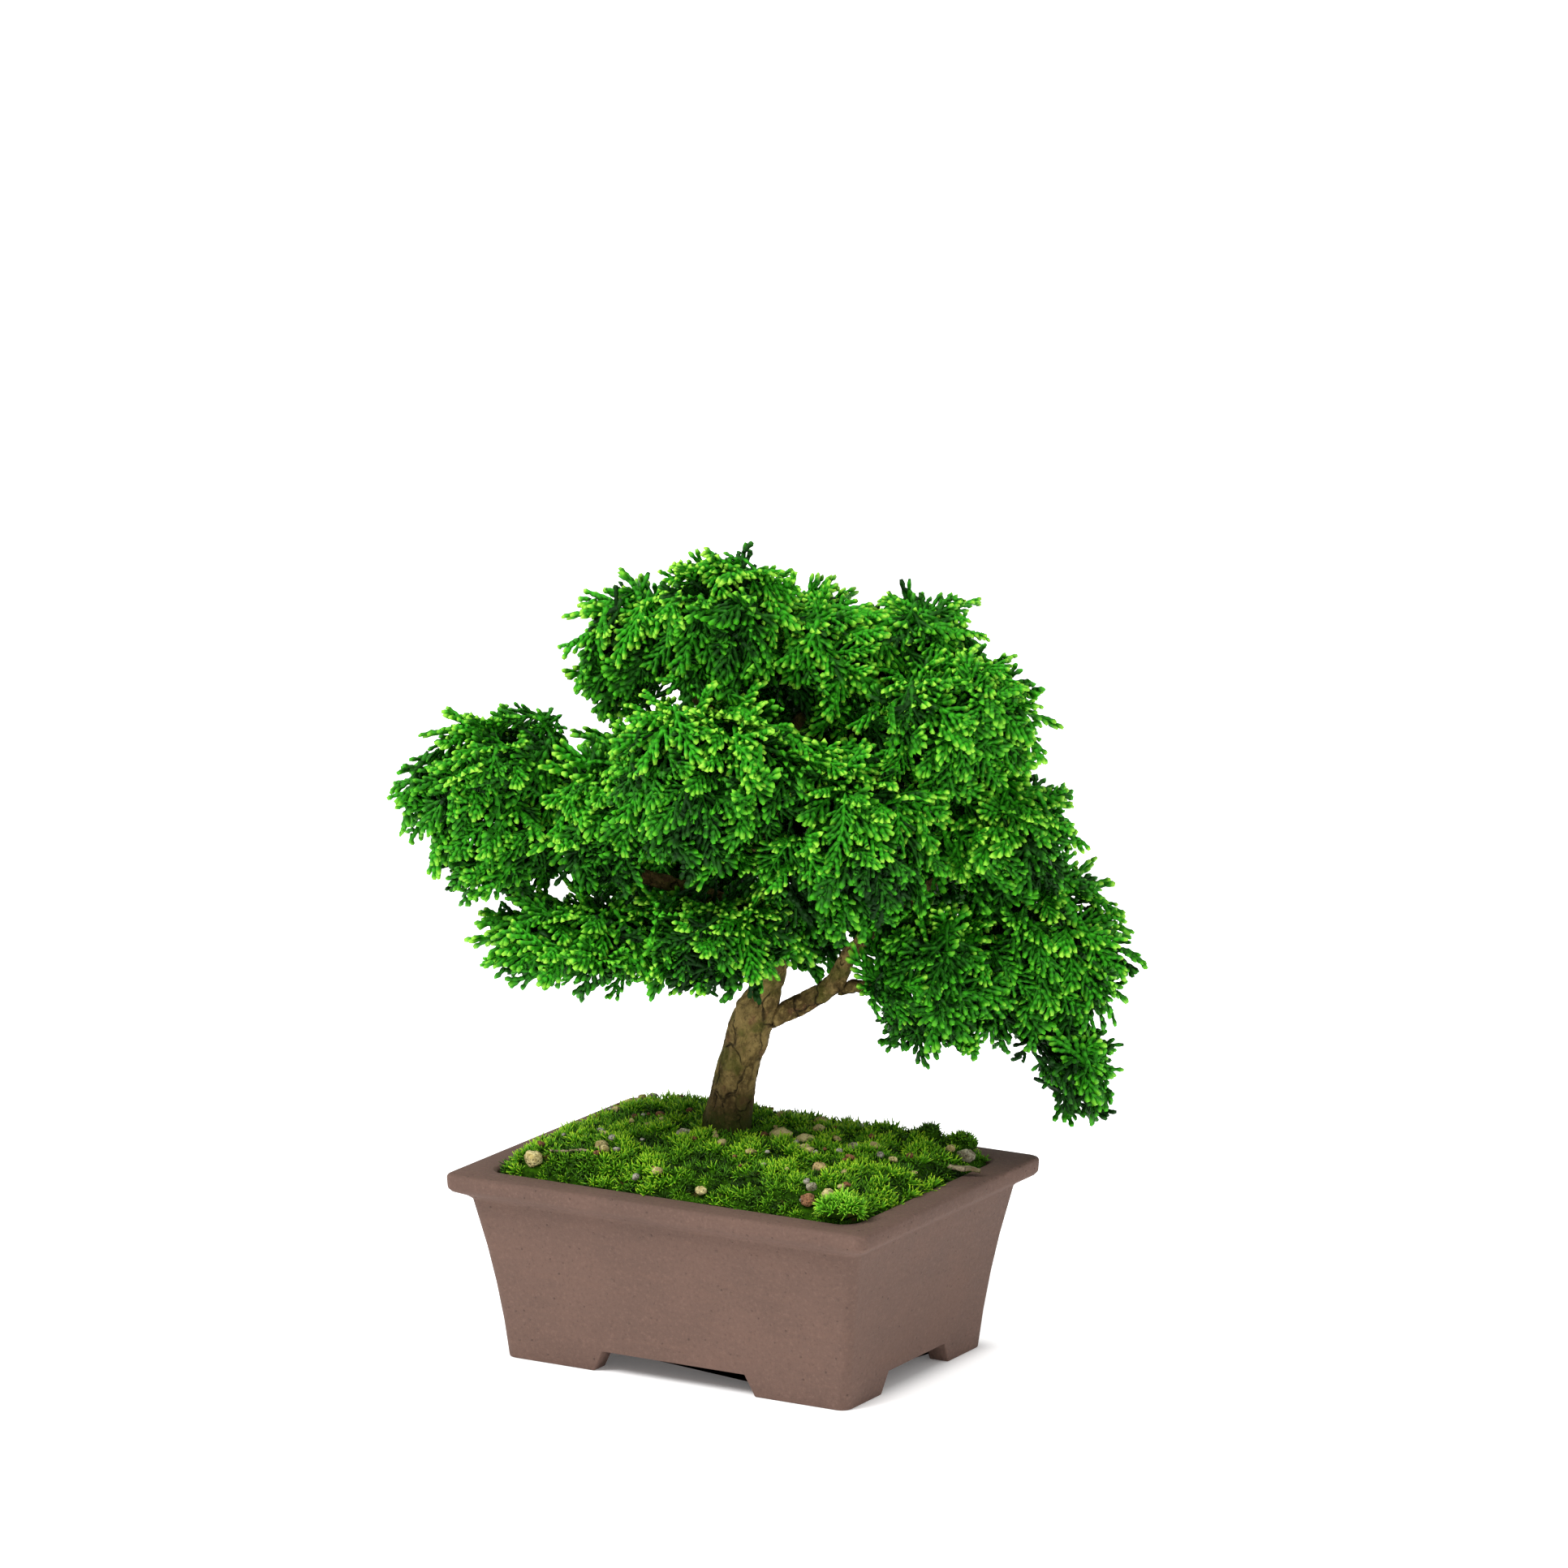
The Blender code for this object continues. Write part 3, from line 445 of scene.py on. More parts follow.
def star_template(rng, blades, height, spread, thick):
    """One star of moss: thin pointed blades that lean outwards from one root."""
    bm = bmesh.new()
    layer = bm.loops.layers.uv.new(STRAND_MAP)
    for k in range(blades):
        long = height * rng.uniform(0.75, 1.1)
        cone = bmesh.ops.create_cone(bm, cap_ends=True, segments=3, radius1=thick,
                                     radius2=thick * 0.2, depth=long)["verts"]
        for face in {face for vert in cone for face in vert.link_faces}:
            for loop in face.loops:
                loop[layer].uv = (0.5 + loop.vert.co.z / long, 0.0)
        lean = Matrix.Rotation(spread * rng.uniform(0.5, 1.1) if k else 0.1, 4, "X")
        around = Matrix.Rotation(math.tau * (k + rng.uniform(-0.2, 0.2)) / blades, 4, "Z")
        bmesh.ops.transform(bm, verts=cone,
                            matrix=around @ lean @ Matrix.Translation((0, 0, long / 2)))
    return template_mesh(bm, "star")


def plant(bm, template, matrix, v):
    """Adds one strand or fan to a piece, with its tone written in its map."""
    copy = template.copy()
    layer = copy.uv_layers[STRAND_MAP].data
    uv = np.empty(2 * len(layer), np.float32)
    layer.foreach_get("uv", uv)
    uv[1::2] = np.clip(uv[1::2] + v, 0.01, 0.99)
    layer.foreach_set("uv", uv)
    copy.transform(matrix)
    bm.from_mesh(copy)
    bpy.data.meshes.remove(copy)


def facing(direction, flat_side):
    """A turn that points Y along the direction, with Z as near the flat side as it can be."""
    y = direction.normalized()
    x = y.cross(flat_side)
    if x.length < 0.001:
        x = y.cross(Vector((1, 0, 0.01)))
    x.normalize()
    z = x.cross(y)
    return Matrix((x, y, z)).transposed().to_4x4()


# ---------------------------------------------------------------- finishes
def strand_finish(name, low, high, tip_low, tip_high, roughness):
    """Colour from root to tip (u) and from painted shade to fresh growth (v), with a dark line at
    each bead and painted shade near the root.
    """
    shader = Shader(name, roughness, Specular_IOR_Level=0.22)
    u, v, _ = shader.parts(shader.node("ShaderNodeUVMap", {"uv_map": STRAND_MAP}))
    body = shader.mix(v.between(0.0, 0.9), low, high)
    tips = shader.mix(v.between(0.35, 0.95), tip_low, tip_high)
    tips = shader.mix(v.between(0.0, 0.4), low, tips)
    joint = u.between(0.3, 0.42) * (1 - u.between(0.48, 0.6)) * 0.4
    # Painted shade: each strand darkens towards its root, where it meets its stem.
    root = 1 - u.between(0.0, 0.24)
    joints_and_root_shade = shader.mix(joint.math("MAXIMUM", joint, root * 0.75), body, shade(low, 0.4))
    colour = shader.mix(u.between(0.6, 1.0), joints_and_root_shade, tips)
    return shader.finish(colour, roughness=0.66 - u.between(0.3, 1.0) * 0.16)


def clay_finish(colour):
    """Mottled, streaked clay with a coarse grain, dark specks and pale scuffed edges."""
    shader = Shader("fired_clay", 0.82, Specular_IOR_Level=0.32)
    wide = shader.cloud(0.035, 4.0)
    grain = shader.cloud(0.0016, 6.0, 0.7)
    streak = shader.cloud(0.009, 3.0, 0.6, shader.stretched((0.35, 0.35, 2.2)))
    base = shader.mix(wide.between(0.35, 0.65), shade(colour, 0.93),
                      shade(colour, 1.07, (1, 1.01, 1.02)))
    base = shader.mix(streak.between(0.45, 0.75) * 0.5, base,
                      shade(colour, 1.12, (1, 0.98, 0.96)))
    base = shader.mix(grain.between(0.52, 0.66) * 0.5, base, shade(colour, 1.4))
    base = shader.mix((1 - grain.between(0.34, 0.47)) * 0.45, base, shade(colour, 0.7))
    specks = 1 - shader.cells(0.0042).between(0.05, 0.16)
    pick = shader.cloud(0.006, 0.0).between(0.52, 0.6)
    base = shader.mix(specks * pick * 0.55, base, shade(colour, 0.45))
    edge = shader.node("ShaderNodeNewGeometry", output="Pointiness").between(0.52, 0.60)
    scuff = shader.cloud(0.0016, 6.0, 0.75).between(0.46, 0.66)
    patch = 0.35 + shader.cloud(0.018, 3.0).between(0.45, 0.62) * 0.65
    base = shader.mix(edge * scuff * patch * 0.5, base, shade(colour, 1.7, (1, 1.03, 1.08)))
    rough = 0.78 + wide.between(0.3, 0.7) * 0.12
    pits = shader.bump(grain, 0.0003)
    return shader.finish(base, rough, shader.bump(specks, 0.0003, pits))


def bark_finish(colour, name="bark", foot=None):
    """Cracked, flaking bark; it grows darker towards a foot height, and mossy just above it."""
    shader = Shader(name, 0.9, Specular_IOR_Level=0.15)
    tall = shader.stretched((1, 1, 0.45))
    bend = shader.node("ShaderNodeTexNoise", {}, {"Vector": shader.place(), "Scale": 160,
                                                  "Detail": 2.0}, output=1)
    bend = shader.node("ShaderNodeVectorMath", {"operation": "SCALE"}, {0: bend, "Scale": 0.006})
    torn = shader.node("ShaderNodeVectorMath", {"operation": "ADD"}, {0: tall, 1: bend})
    plates = shader.cloud(0.009, 5.0, 0.62, tall)
    flakes = shader.cloud(0.0024, 6.0, 0.75)
    cracks = shader.cells(0.010, "DISTANCE_TO_EDGE", torn)
    seams = shader.cells(0.0045, "DISTANCE_TO_EDGE", torn)
    base = shader.mix(plates.between(0.38, 0.6), shade(colour, 0.36, (1, 0.92, 0.8)),
                      shade(colour, 1.15))
    base = shader.mix(flakes.between(0.5, 0.66) * 0.8, base, shade(colour, 1.5, (1, 1, 0.98)))
    base = shader.mix((1 - flakes.between(0.34, 0.47)) * 0.75, base, shade(colour, 0.22))
    green = shader.cloud(0.013, 4.0).between(0.5, 0.64)
    base = shader.mix(green * 0.55, base, tone(84, 92, 30))
    red = shader.cloud(0.008, 4.0, 0.6).between(0.6, 0.7)
    base = shader.mix(red * 0.4, base, tone(122, 78, 62))
    # Cracks and seams painted near black: partly the dark inner bark, partly painted shade in the
    # crevices.
    gap = (1 - cracks.between(0.0, 0.05)) * shader.cloud(0.012).between(0.42, 0.55)
    base = shader.mix(gap * 0.85, base, shade(colour, 0.10))
    base = shader.mix((1 - seams.between(0.0, 0.05)) * 0.35, base, shade(colour, 0.2))
    if foot is not None:
        height = shader.parts(shader.place())[2]
        # Darker towards the foot.
        darker_to_foot = 1 - (height + (plates - 0.5) * 0.03).between(foot, foot + 0.034)
        base = shader.mix(darker_to_foot * 0.75, base, shade(colour, 0.14, (1, 0.9, 0.8)))
        low_moss = 1 - (height + (flakes - 0.5) * 0.02).between(foot, foot + 0.012)
        base = shader.mix(low_moss * 0.6, base, tone(52, 74, 16))
    relief = shader.bump(plates + flakes * 0.6, 0.0018)
    return shader.finish(base, None, shader.bump(1 - gap, 0.0010, relief))


def moss_bed_finish(colour):
    shader = Shader("moss_bed", 0.95, Specular_IOR_Level=0.08)
    lumps = shader.cloud(0.006, 5.0, 0.65)
    fine = shader.cloud(0.0012, 4.0, 0.7)
    # The dark green bed is partly the moss's own lower growth and partly painted shade deep
    # between the stars.
    base = shader.mix(lumps.between(0.35, 0.65), shade(colour, 0.07), shade(colour, 0.3))
    base = shader.mix(fine.between(0.55, 0.7) * 0.6, base, shade(colour, 0.6))
    brown = shader.cloud(0.010, 4.0).between(0.58, 0.66)
    base = shader.mix(brown * 0.7, base, tone(70, 48, 26))
    return shader.finish(base, None, shader.bump(fine, 0.0012))


def stone_finish(name, colour, dark, stain):
    shader = Shader(name, 0.85, Specular_IOR_Level=0.2)
    wide = shader.cloud(0.004, 5.0, 0.65)
    grain = shader.cloud(0.0009, 5.0, 0.7)
    pores = 1 - shader.cells(0.0013).between(0.12, 0.34)
    base = shader.mix(wide.between(0.35, 0.62), dark, colour)
    base = shader.mix(grain.between(0.5, 0.7) * 0.5, base, shade(colour, 1.4))
    base = shader.mix(pores * 0.7, base, shade(dark, 0.45))
    base = shader.mix(shader.cloud(0.003, 3.0).between(0.56, 0.7) * 0.5, base, stain)
    return shader.finish(base, None, shader.bump(grain - pores, 0.0008))


def soil_finish():
    shader = Shader("potting_soil", 0.95, Specular_IOR_Level=0.2)
    crumbs = shader.cells(0.0035)
    fine = shader.cloud(0.0015, 5.0, 0.7)
    base = shader.mix(crumbs.between(0.1, 0.7), tone(40, 28, 18), tone(92, 68, 46))
    base = shader.mix(fine.between(0.55, 0.7) * 0.5, base, tone(140, 112, 82))
    return shader.finish(base, None, shader.bump(crumbs, 0.0015))


def screen_finish():
    shader = Shader("screen_plastic", 0.5)
    wear = shader.cloud(0.003, 4.0)
    base = shader.mix(wear.between(0.4, 0.7), tone(22, 24, 24), tone(58, 60, 58))
    return shader.finish(base, 0.42 + wear * 0.3, shader.bump(shader.cloud(0.0006), 0.0002))


def wire_finish():
    shader = Shader("clip_wire", 0.35, Metallic=1.0)
    drawn = shader.cloud(0.0012, 4.0)
    base = shader.mix(drawn.between(0.35, 0.7), tone(150, 148, 144), tone(205, 204, 200))
    base = shader.mix(shader.cloud(0.005, 3.0).between(0.55, 0.7) * 0.6, base, tone(120, 104, 86))
    return shader.finish(base, 0.3 + drawn * 0.3, shader.bump(drawn, 0.0001))


# ---------------------------------------------------------------- operators
class MakeStage(Operator):
    """Camera, pale floor with a painted shadow under the pot, and soft light"""
    bl_idname = "bonsai.make_stage"
    bl_label = "Stage"

    def execute(self, context):
        scene = context.scene
        scene.view_settings.view_transform = "Standard"
        low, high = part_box("pot")
        aim = (low + high) / 2
        aim.x += AIM_ASIDE
        aim.z = AIM_HEIGHT
        level = math.cos(VIEW_ELEVATION)
        back = Vector((math.sin(VIEW_AZIMUTH) * level, -math.cos(VIEW_AZIMUTH) * level,
                       math.sin(VIEW_ELEVATION)))
        camera_data = bpy.data.cameras.new("camera")
        camera_data.lens = VIEW_LENS
        camera_data.sensor_width = VIEW_SENSOR
        camera_data.clip_end = 50.0
        camera = bpy.data.objects.new("camera", camera_data)
        camera.location = aim + back * VIEW_DISTANCE
        camera.rotation_euler = (-back).to_track_quat("-Z", "Y").to_euler()
        scene.collection.objects.link(camera)
        scene.camera = camera

        bm = bmesh.new()
        bmesh.ops.create_circle(bm, cap_ends=True, segments=96, radius=FLOOR_RADIUS)
        mesh = bpy.data.meshes.new("floor")
        bm.to_mesh(mesh)
        bm.free()
        floor = bpy.data.objects.new("floor", mesh)
        scene.collection.objects.link(floor)
        shader = Shader("pale_floor", 0.9, Specular_IOR_Level=0.0, Emission_Strength=FLOOR_GLOW)
        beyond = []
        for part, near, far in zip(shader.parts(shader.place())[:2], low, high):
            off = part - (near + far) / 2
            off = off.math("ABSOLUTE", off) - (far - near) / 2 + FEET_INSET
            beyond.append(off.math("MAXIMUM", off, 0))
        clear = (beyond[0] * beyond[0] + beyond[1] * beyond[1]) ** 0.5
        # Painted shadow: the floor's glow fades to near black under the pot and just past its
        # feet.
        glow = shader.mix(clear.between(-0.004, PAINTED_SHADOW_REACH), (0.02, 0.02, 0.02, 1), (1, 1, 1, 1))
        shader.put(shader.surface.inputs["Emission Color"], glow)
        mesh.materials.append(shader.finish((0.9, 0.9, 0.9, 1)))

        world = bpy.data.worlds.new("studio")
        scene.world = world
        world.use_nodes = True
        ground = world.node_tree.nodes["Background"]
        seen = world.node_tree.nodes.new("ShaderNodeLightPath")
        glow = world.node_tree.nodes.new("ShaderNodeMapRange")
        glow.inputs["To Min"].default_value = SKY_LIGHT
        glow.inputs["To Max"].default_value = SKY_SEEN
        world.node_tree.links.new(seen.outputs["Is Camera Ray"], glow.inputs["Value"])
        world.node_tree.links.new(glow.outputs[0], ground.inputs["Strength"])
        ground.inputs["Color"].default_value = (1, 1, 1, 1)

        for name, strength, wide, toward in LAMPS:
            data = bpy.data.lights.new(name, "SUN")
            data.energy = strength
            data.angle = math.radians(wide)
            lamp = bpy.data.objects.new(name, data)
            lamp.rotation_euler = toward.to_track_quat("Z", "Y").to_euler()
            scene.collection.objects.link(lamp)
        return {"FINISHED"}


class MakePot(Operator):
    """The clay pot with softened, worn edges"""
    bl_idname = "bonsai.make_pot"
    bl_label = "Pot"

    def execute(self, context):
        sizes, colours = context.scene.bonsai_sizes, context.scene.bonsai_colours
        bm = merged_copy("pot")
        bmesh.ops.dissolve_limit(bm, angle_limit=math.radians(1.5), verts=bm.verts[:],
                                 edges=bm.edges[:])
        crisp = [edge for edge in bm.edges
                 if len(edge.link_faces) == 2 and edge.calc_face_angle(0) > math.radians(35)]
        bmesh.ops.bevel(bm, geom=crisp, offset=sizes.edge_wear, offset_type="OFFSET",
                        affect="EDGES", segments=2, profile=0.5, material=-1,
                        clamp_overlap=True)
        bmesh.ops.triangulate(bm, faces=bm.faces[:])
        soften(bm, 40)
        make_piece(bm, "pot_clay", clay_finish(colours.clay), "clay", "pot")
        return {"FINISHED"}


class MakeFittings(Operator):
    """Soil, drain screens and clips inside the pot"""
    bl_idname = "bonsai.make_fittings"
    bl_label = "Soil and drainage"

    def execute(self, context):
        dress("soil", soil_finish())
        plastic, wire = screen_finish(), wire_finish()
        for side in ("left", "right"):
            dress("drain_screen_" + side, plastic)
            dress("screen_clip_" + side, wire)
        return {"FINISHED"}


def footprints():
    """The middle and the reach of each stone, seen from above."""
    found = []
    for node in STONES:
        low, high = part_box(node)
        found.append(((low + high).to_2d() / 2, (high - low).to_2d().length / 2.9))
    return found


def bare_by(point, prints):
    """How far a place on the moss lies from the rim of the nearest stone."""
    flat = point.to_2d()
    return min((flat - middle).length - reach for middle, reach in prints)


def swelling(point):
    """How lush the moss is at a point, from about -1 to 1."""
    return noise.noise(point / MOSS_LUMP) + 0.5 * noise.noise(point / MOSS_LUMPLET)


def moss_piece(name, node, slot, bed, strands, seed, spacing, height, lift, tones):
    """A lumpy bed of moss and the stars that grow from it."""
    rng = random.Random(seed)
    bm = merged_copy(node)
    bmesh.ops.triangulate(bm, faces=bm.faces[:])
    while len(bm.faces) < MOSS_BED_FACES:
        bmesh.ops.subdivide_edges(bm, edges=bm.edges[:], cuts=1, use_grid_fill=True)
        bmesh.ops.triangulate(bm, faces=bm.faces[:])
    bm.normal_update()
    ground = {vert: vert.normal * lift * swelling(vert.co) for vert in bm.verts}
    for vert, push in ground.items():
        if vert.normal.z > 0.15:
            vert.co += push
    bm.normal_update()
    faces = [face for face in bm.faces if face.normal.z > 0.1]
    stars = [star_template(rng, 6 + k % 2, 1.0, 1.0, 0.15) for k in range(6)]
    growth = bmesh.new()
    growth.loops.layers.uv.new(STRAND_MAP)
    prints = footprints()
    for point, normal in scatter(faces, spacing, rng, 3.0,
                                 lambda place, _: bare_by(place, prints) > 0):
        patch = swelling(point)
        size = height * (1 + 0.45 * patch + rng.uniform(-0.3, 0.35))
        size *= 0.5 + 0.5 * min(1.0, bare_by(point, prints) / STONE_CLEARING)
        lean = (normal + Vector([rng.uniform(-0.6, 0.6) for _ in range(3)])).normalized()
        spin = Matrix.Rotation(rng.uniform(0, math.tau), 4, "Z")
        place = (Matrix.Translation(point - normal * MOSS_ROOT_SINK)
                 @ lean.to_track_quat("Z", "Y").to_matrix().to_4x4() @ spin
                 @ Matrix.Diagonal((size, size, size, 1)))
        # Stars on the swellings are lighter and those in the hollows darker: partly lusher moss,
        # partly painted highlight on crests and painted shade in hollows.
        level = tones[0] + (tones[1] - tones[0]) * (0.5 + 1.1 * patch)
        level += rng.uniform(-0.2, 0.2) + 0.25 * noise.noise(point / 0.025)
        plant(growth, rng.choice(stars), place, level)
    soften(bm, 80)
    make_piece(bm, name + "_bed", bed, slot, node)
    make_piece(growth, name + "_stars", strands, slot)


class MakeMoss(Operator):
    """The carpet, ball, cushion and fresh clump of moss"""
    bl_idname = "bonsai.make_moss"
    bl_label = "Moss"

    def execute(self, context):
        sizes, colours = context.scene.bonsai_sizes, context.scene.bonsai_colours
        moss = colours.moss
        bed = moss_bed_finish(moss)
        carpet = strand_finish("moss_stars", shade(moss, 0.12), moss, shade(moss, 0.9),
                               tone(184, 226, 46), 0.7)
        dark = strand_finish("moss_stars_dark", shade(moss, 0.16), shade(moss, 0.5),
                             shade(moss, 0.5), tone(110, 160, 40), 0.7)
        fresh = strand_finish("moss_stars_fresh", shade(moss, 0.4), tone(104, 190, 22),
                              tone(120, 205, 34), tone(190, 240, 74), 0.6)
        near, tall = sizes.tuft_spacing, sizes.tuft_height
        moss_piece("moss_carpet", "moss_carpet", "moss", bed, carpet, 11, near, tall,
                   0.0021, (0.0, 1.0))
        moss_piece("moss_ball", "moss_ball", "moss_dark", bed, dark, 12, near * 0.8,
                   tall * 0.8, 0.0004, (0.2, 0.8))
        moss_piece("moss_cushion", "moss_cushion_right", "moss", bed, carpet, 13,
                   near * 0.8, tall * 0.85, 0.0006, (0.3, 0.9))
        moss_piece("moss_clump", "moss_clump_front", "moss_fresh", bed, fresh, 14,
                   near * 0.8, tall * 1.15, 0.0005, (0.3, 1.0))
        return {"FINISHED"}


class MakeStones(Operator):
    """Weathered stones on the moss"""
    bl_idname = "bonsai.make_stones"
    bl_label = "Stones"

    def execute(self, context):
        finishes = {
            "stone_pale": stone_finish("stone_pale", tone(224, 210, 150), tone(156, 140, 88),
                                       tone(176, 150, 70)),
            "stone_grey": stone_finish("stone_grey", tone(204, 198, 172), tone(118, 110, 86),
                                       tone(140, 136, 80)),
            "stone_tan": stone_finish("stone_tan", tone(206, 180, 124), tone(134, 110, 72),
                                      tone(160, 134, 66)),
            "stone_brown": stone_finish("stone_brown", tone(172, 126, 90), tone(108, 74, 50),
                                        tone(134, 80, 48)),
        }
        for k, node in enumerate(STONES):
            low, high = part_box(node)
            size = (high - low).length
            bm = remeshed(merged_copy(node), size / 42)
            evened(bm, 1)
            shift = Vector((k * 1.7, k * 0.9, k * 2.3))
            for vert in bm.verts:
                where = vert.co / size
                facet = noise.cell(where * 3.2 + shift) * 0.018
                rough = noise.fractal(where * 7 + shift, 1.0, 2.0, 4) * 0.03
                vert.co += vert.normal * size * (rough + facet - 0.012)
            soften(bm, 70)
            make_piece(bm, node + "_weathered", finishes[SLOT_OF[node]], SLOT_OF[node], node)
        return {"FINISHED"}


class MakeGrit(Operator):
    """Small grit and crumbs of bark that lie between the tufts of moss"""
    bl_idname = "bonsai.make_grit"
    bl_label = "Grit"

    def execute(self, context):
        kinds = (
            ("grit_pale", "stone_pale", 30, 0.0022, stone_finish(
                "grit_pale", tone(214, 200, 140), tone(150, 134, 84), tone(176, 160, 70))),
            ("grit_grey", "stone_grey", 22, 0.0019, stone_finish(
                "grit_grey", tone(190, 186, 172), tone(112, 106, 92), tone(110, 116, 70))),
            ("grit_brown", "stone_brown", 34, 0.0018, stone_finish(
                "grit_brown", tone(150, 104, 70), tone(84, 56, 36), tone(112, 64, 34))),
        )
        low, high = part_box("moss_carpet")
        middle, half = (low + high) / 2, (high - low) / 2
        ground = merged_copy("moss_carpet")
        tree = BVHTree.FromBMesh(ground)
        ground.free()
        for seed, (name, slot, count, size, finish) in enumerate(kinds):
            rng = random.Random(40 + seed)
            bm = bmesh.new()
            for _ in range(count):
                x = middle.x + half.x * rng.uniform(-0.92, 0.95)
                y = middle.y + half.y * rng.choice((-1, 1)) * rng.uniform(0.0, 0.95)
                top = tree.ray_cast(Vector((x, y, high.z + 0.05)), -UP)[0]
                if top is None:
                    continue
                grain = bmesh.ops.create_icosphere(bm, subdivisions=2, radius=1.0)["verts"]
                shift = Vector((rng.uniform(0, 40), rng.uniform(0, 40), 0))
                for vert in grain:
                    vert.co *= 1 + 0.5 * noise.noise(vert.co * 0.9 + shift)
                wide = size * rng.uniform(0.55, 1.25)
                turn = Matrix.Rotation(rng.uniform(0, math.tau), 4, "Z")
                shape = Matrix.Diagonal((wide, wide * 0.75, wide * 0.6, 1))
                place = Matrix.Translation(top + UP * 0.0026)
                bmesh.ops.transform(bm, matrix=place @ turn @ shape, verts=grain)
            soften(bm, 70)
            make_piece(bm, name, finish, slot)
        return {"FINISHED"}


class MakeLitter(Operator):
    """The flake of bark and the dry twig"""
    bl_idname = "bonsai.make_litter"
    bl_label = "Bark flake and twig"

    def execute(self, context):
        flake = bark_finish(tone(176, 160, 132), "bark_flake")
        for node, voxel in (("bark_chip", 0.0005), ("dry_twig", 0.0003)):
            bm = remeshed(merged_copy(node), voxel)
            bm.normal_update()
            for vert in bm.verts:
                vert.co += vert.normal * 0.0003 * noise.fractal(vert.co / 0.003, 1.0, 2.0, 3)
            soften(bm, 70)
            make_piece(bm, node + "_dry", flake, SLOT_OF[node], node)
        return {"FINISHED"}


class MakeWood(Operator):
    """Trunk and limbs with cracked bark"""
    bl_idname = "bonsai.make_wood"
    bl_label = "Wood"

    def execute(self, context):
        sizes, colours = context.scene.bonsai_sizes, context.scene.bonsai_colours
        bark = bark_finish(colours.bark, foot=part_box("moss_carpet")[1].z)
        for node in ["trunk", *LIMBS]:
            bm = remeshed(merged_copy(node), 0.0008 if node == "trunk" else 0.0009)
            evened(bm, 4)
            pushes = []
            for vert in bm.verts:
                tall = Vector((vert.co.x, vert.co.y, vert.co.z * 0.35))
                plate = noise.noise(tall / 0.0045)
                crack = 1 - min(1.0, abs(noise.noise(tall / 0.007 + Vector((9, 3, 1)))) / 0.07)
                knot = max(0.0, noise.noise(vert.co / 0.012 + Vector((4, 4, 4))) - 0.2)
                fine = noise.fractal(vert.co / 0.0022, 1.0, 2.0, 2)
                pushes.append(0.8 * plate - 0.7 * crack + 3.0 * knot + 0.45 * fine)
            for vert, push in zip(bm.verts, pushes):
                vert.co += vert.normal * sizes.bark_depth * push
            soften(bm, 80)
            make_piece(bm, node + "_bark", bark, "bark", node)
        return {"FINISHED"}


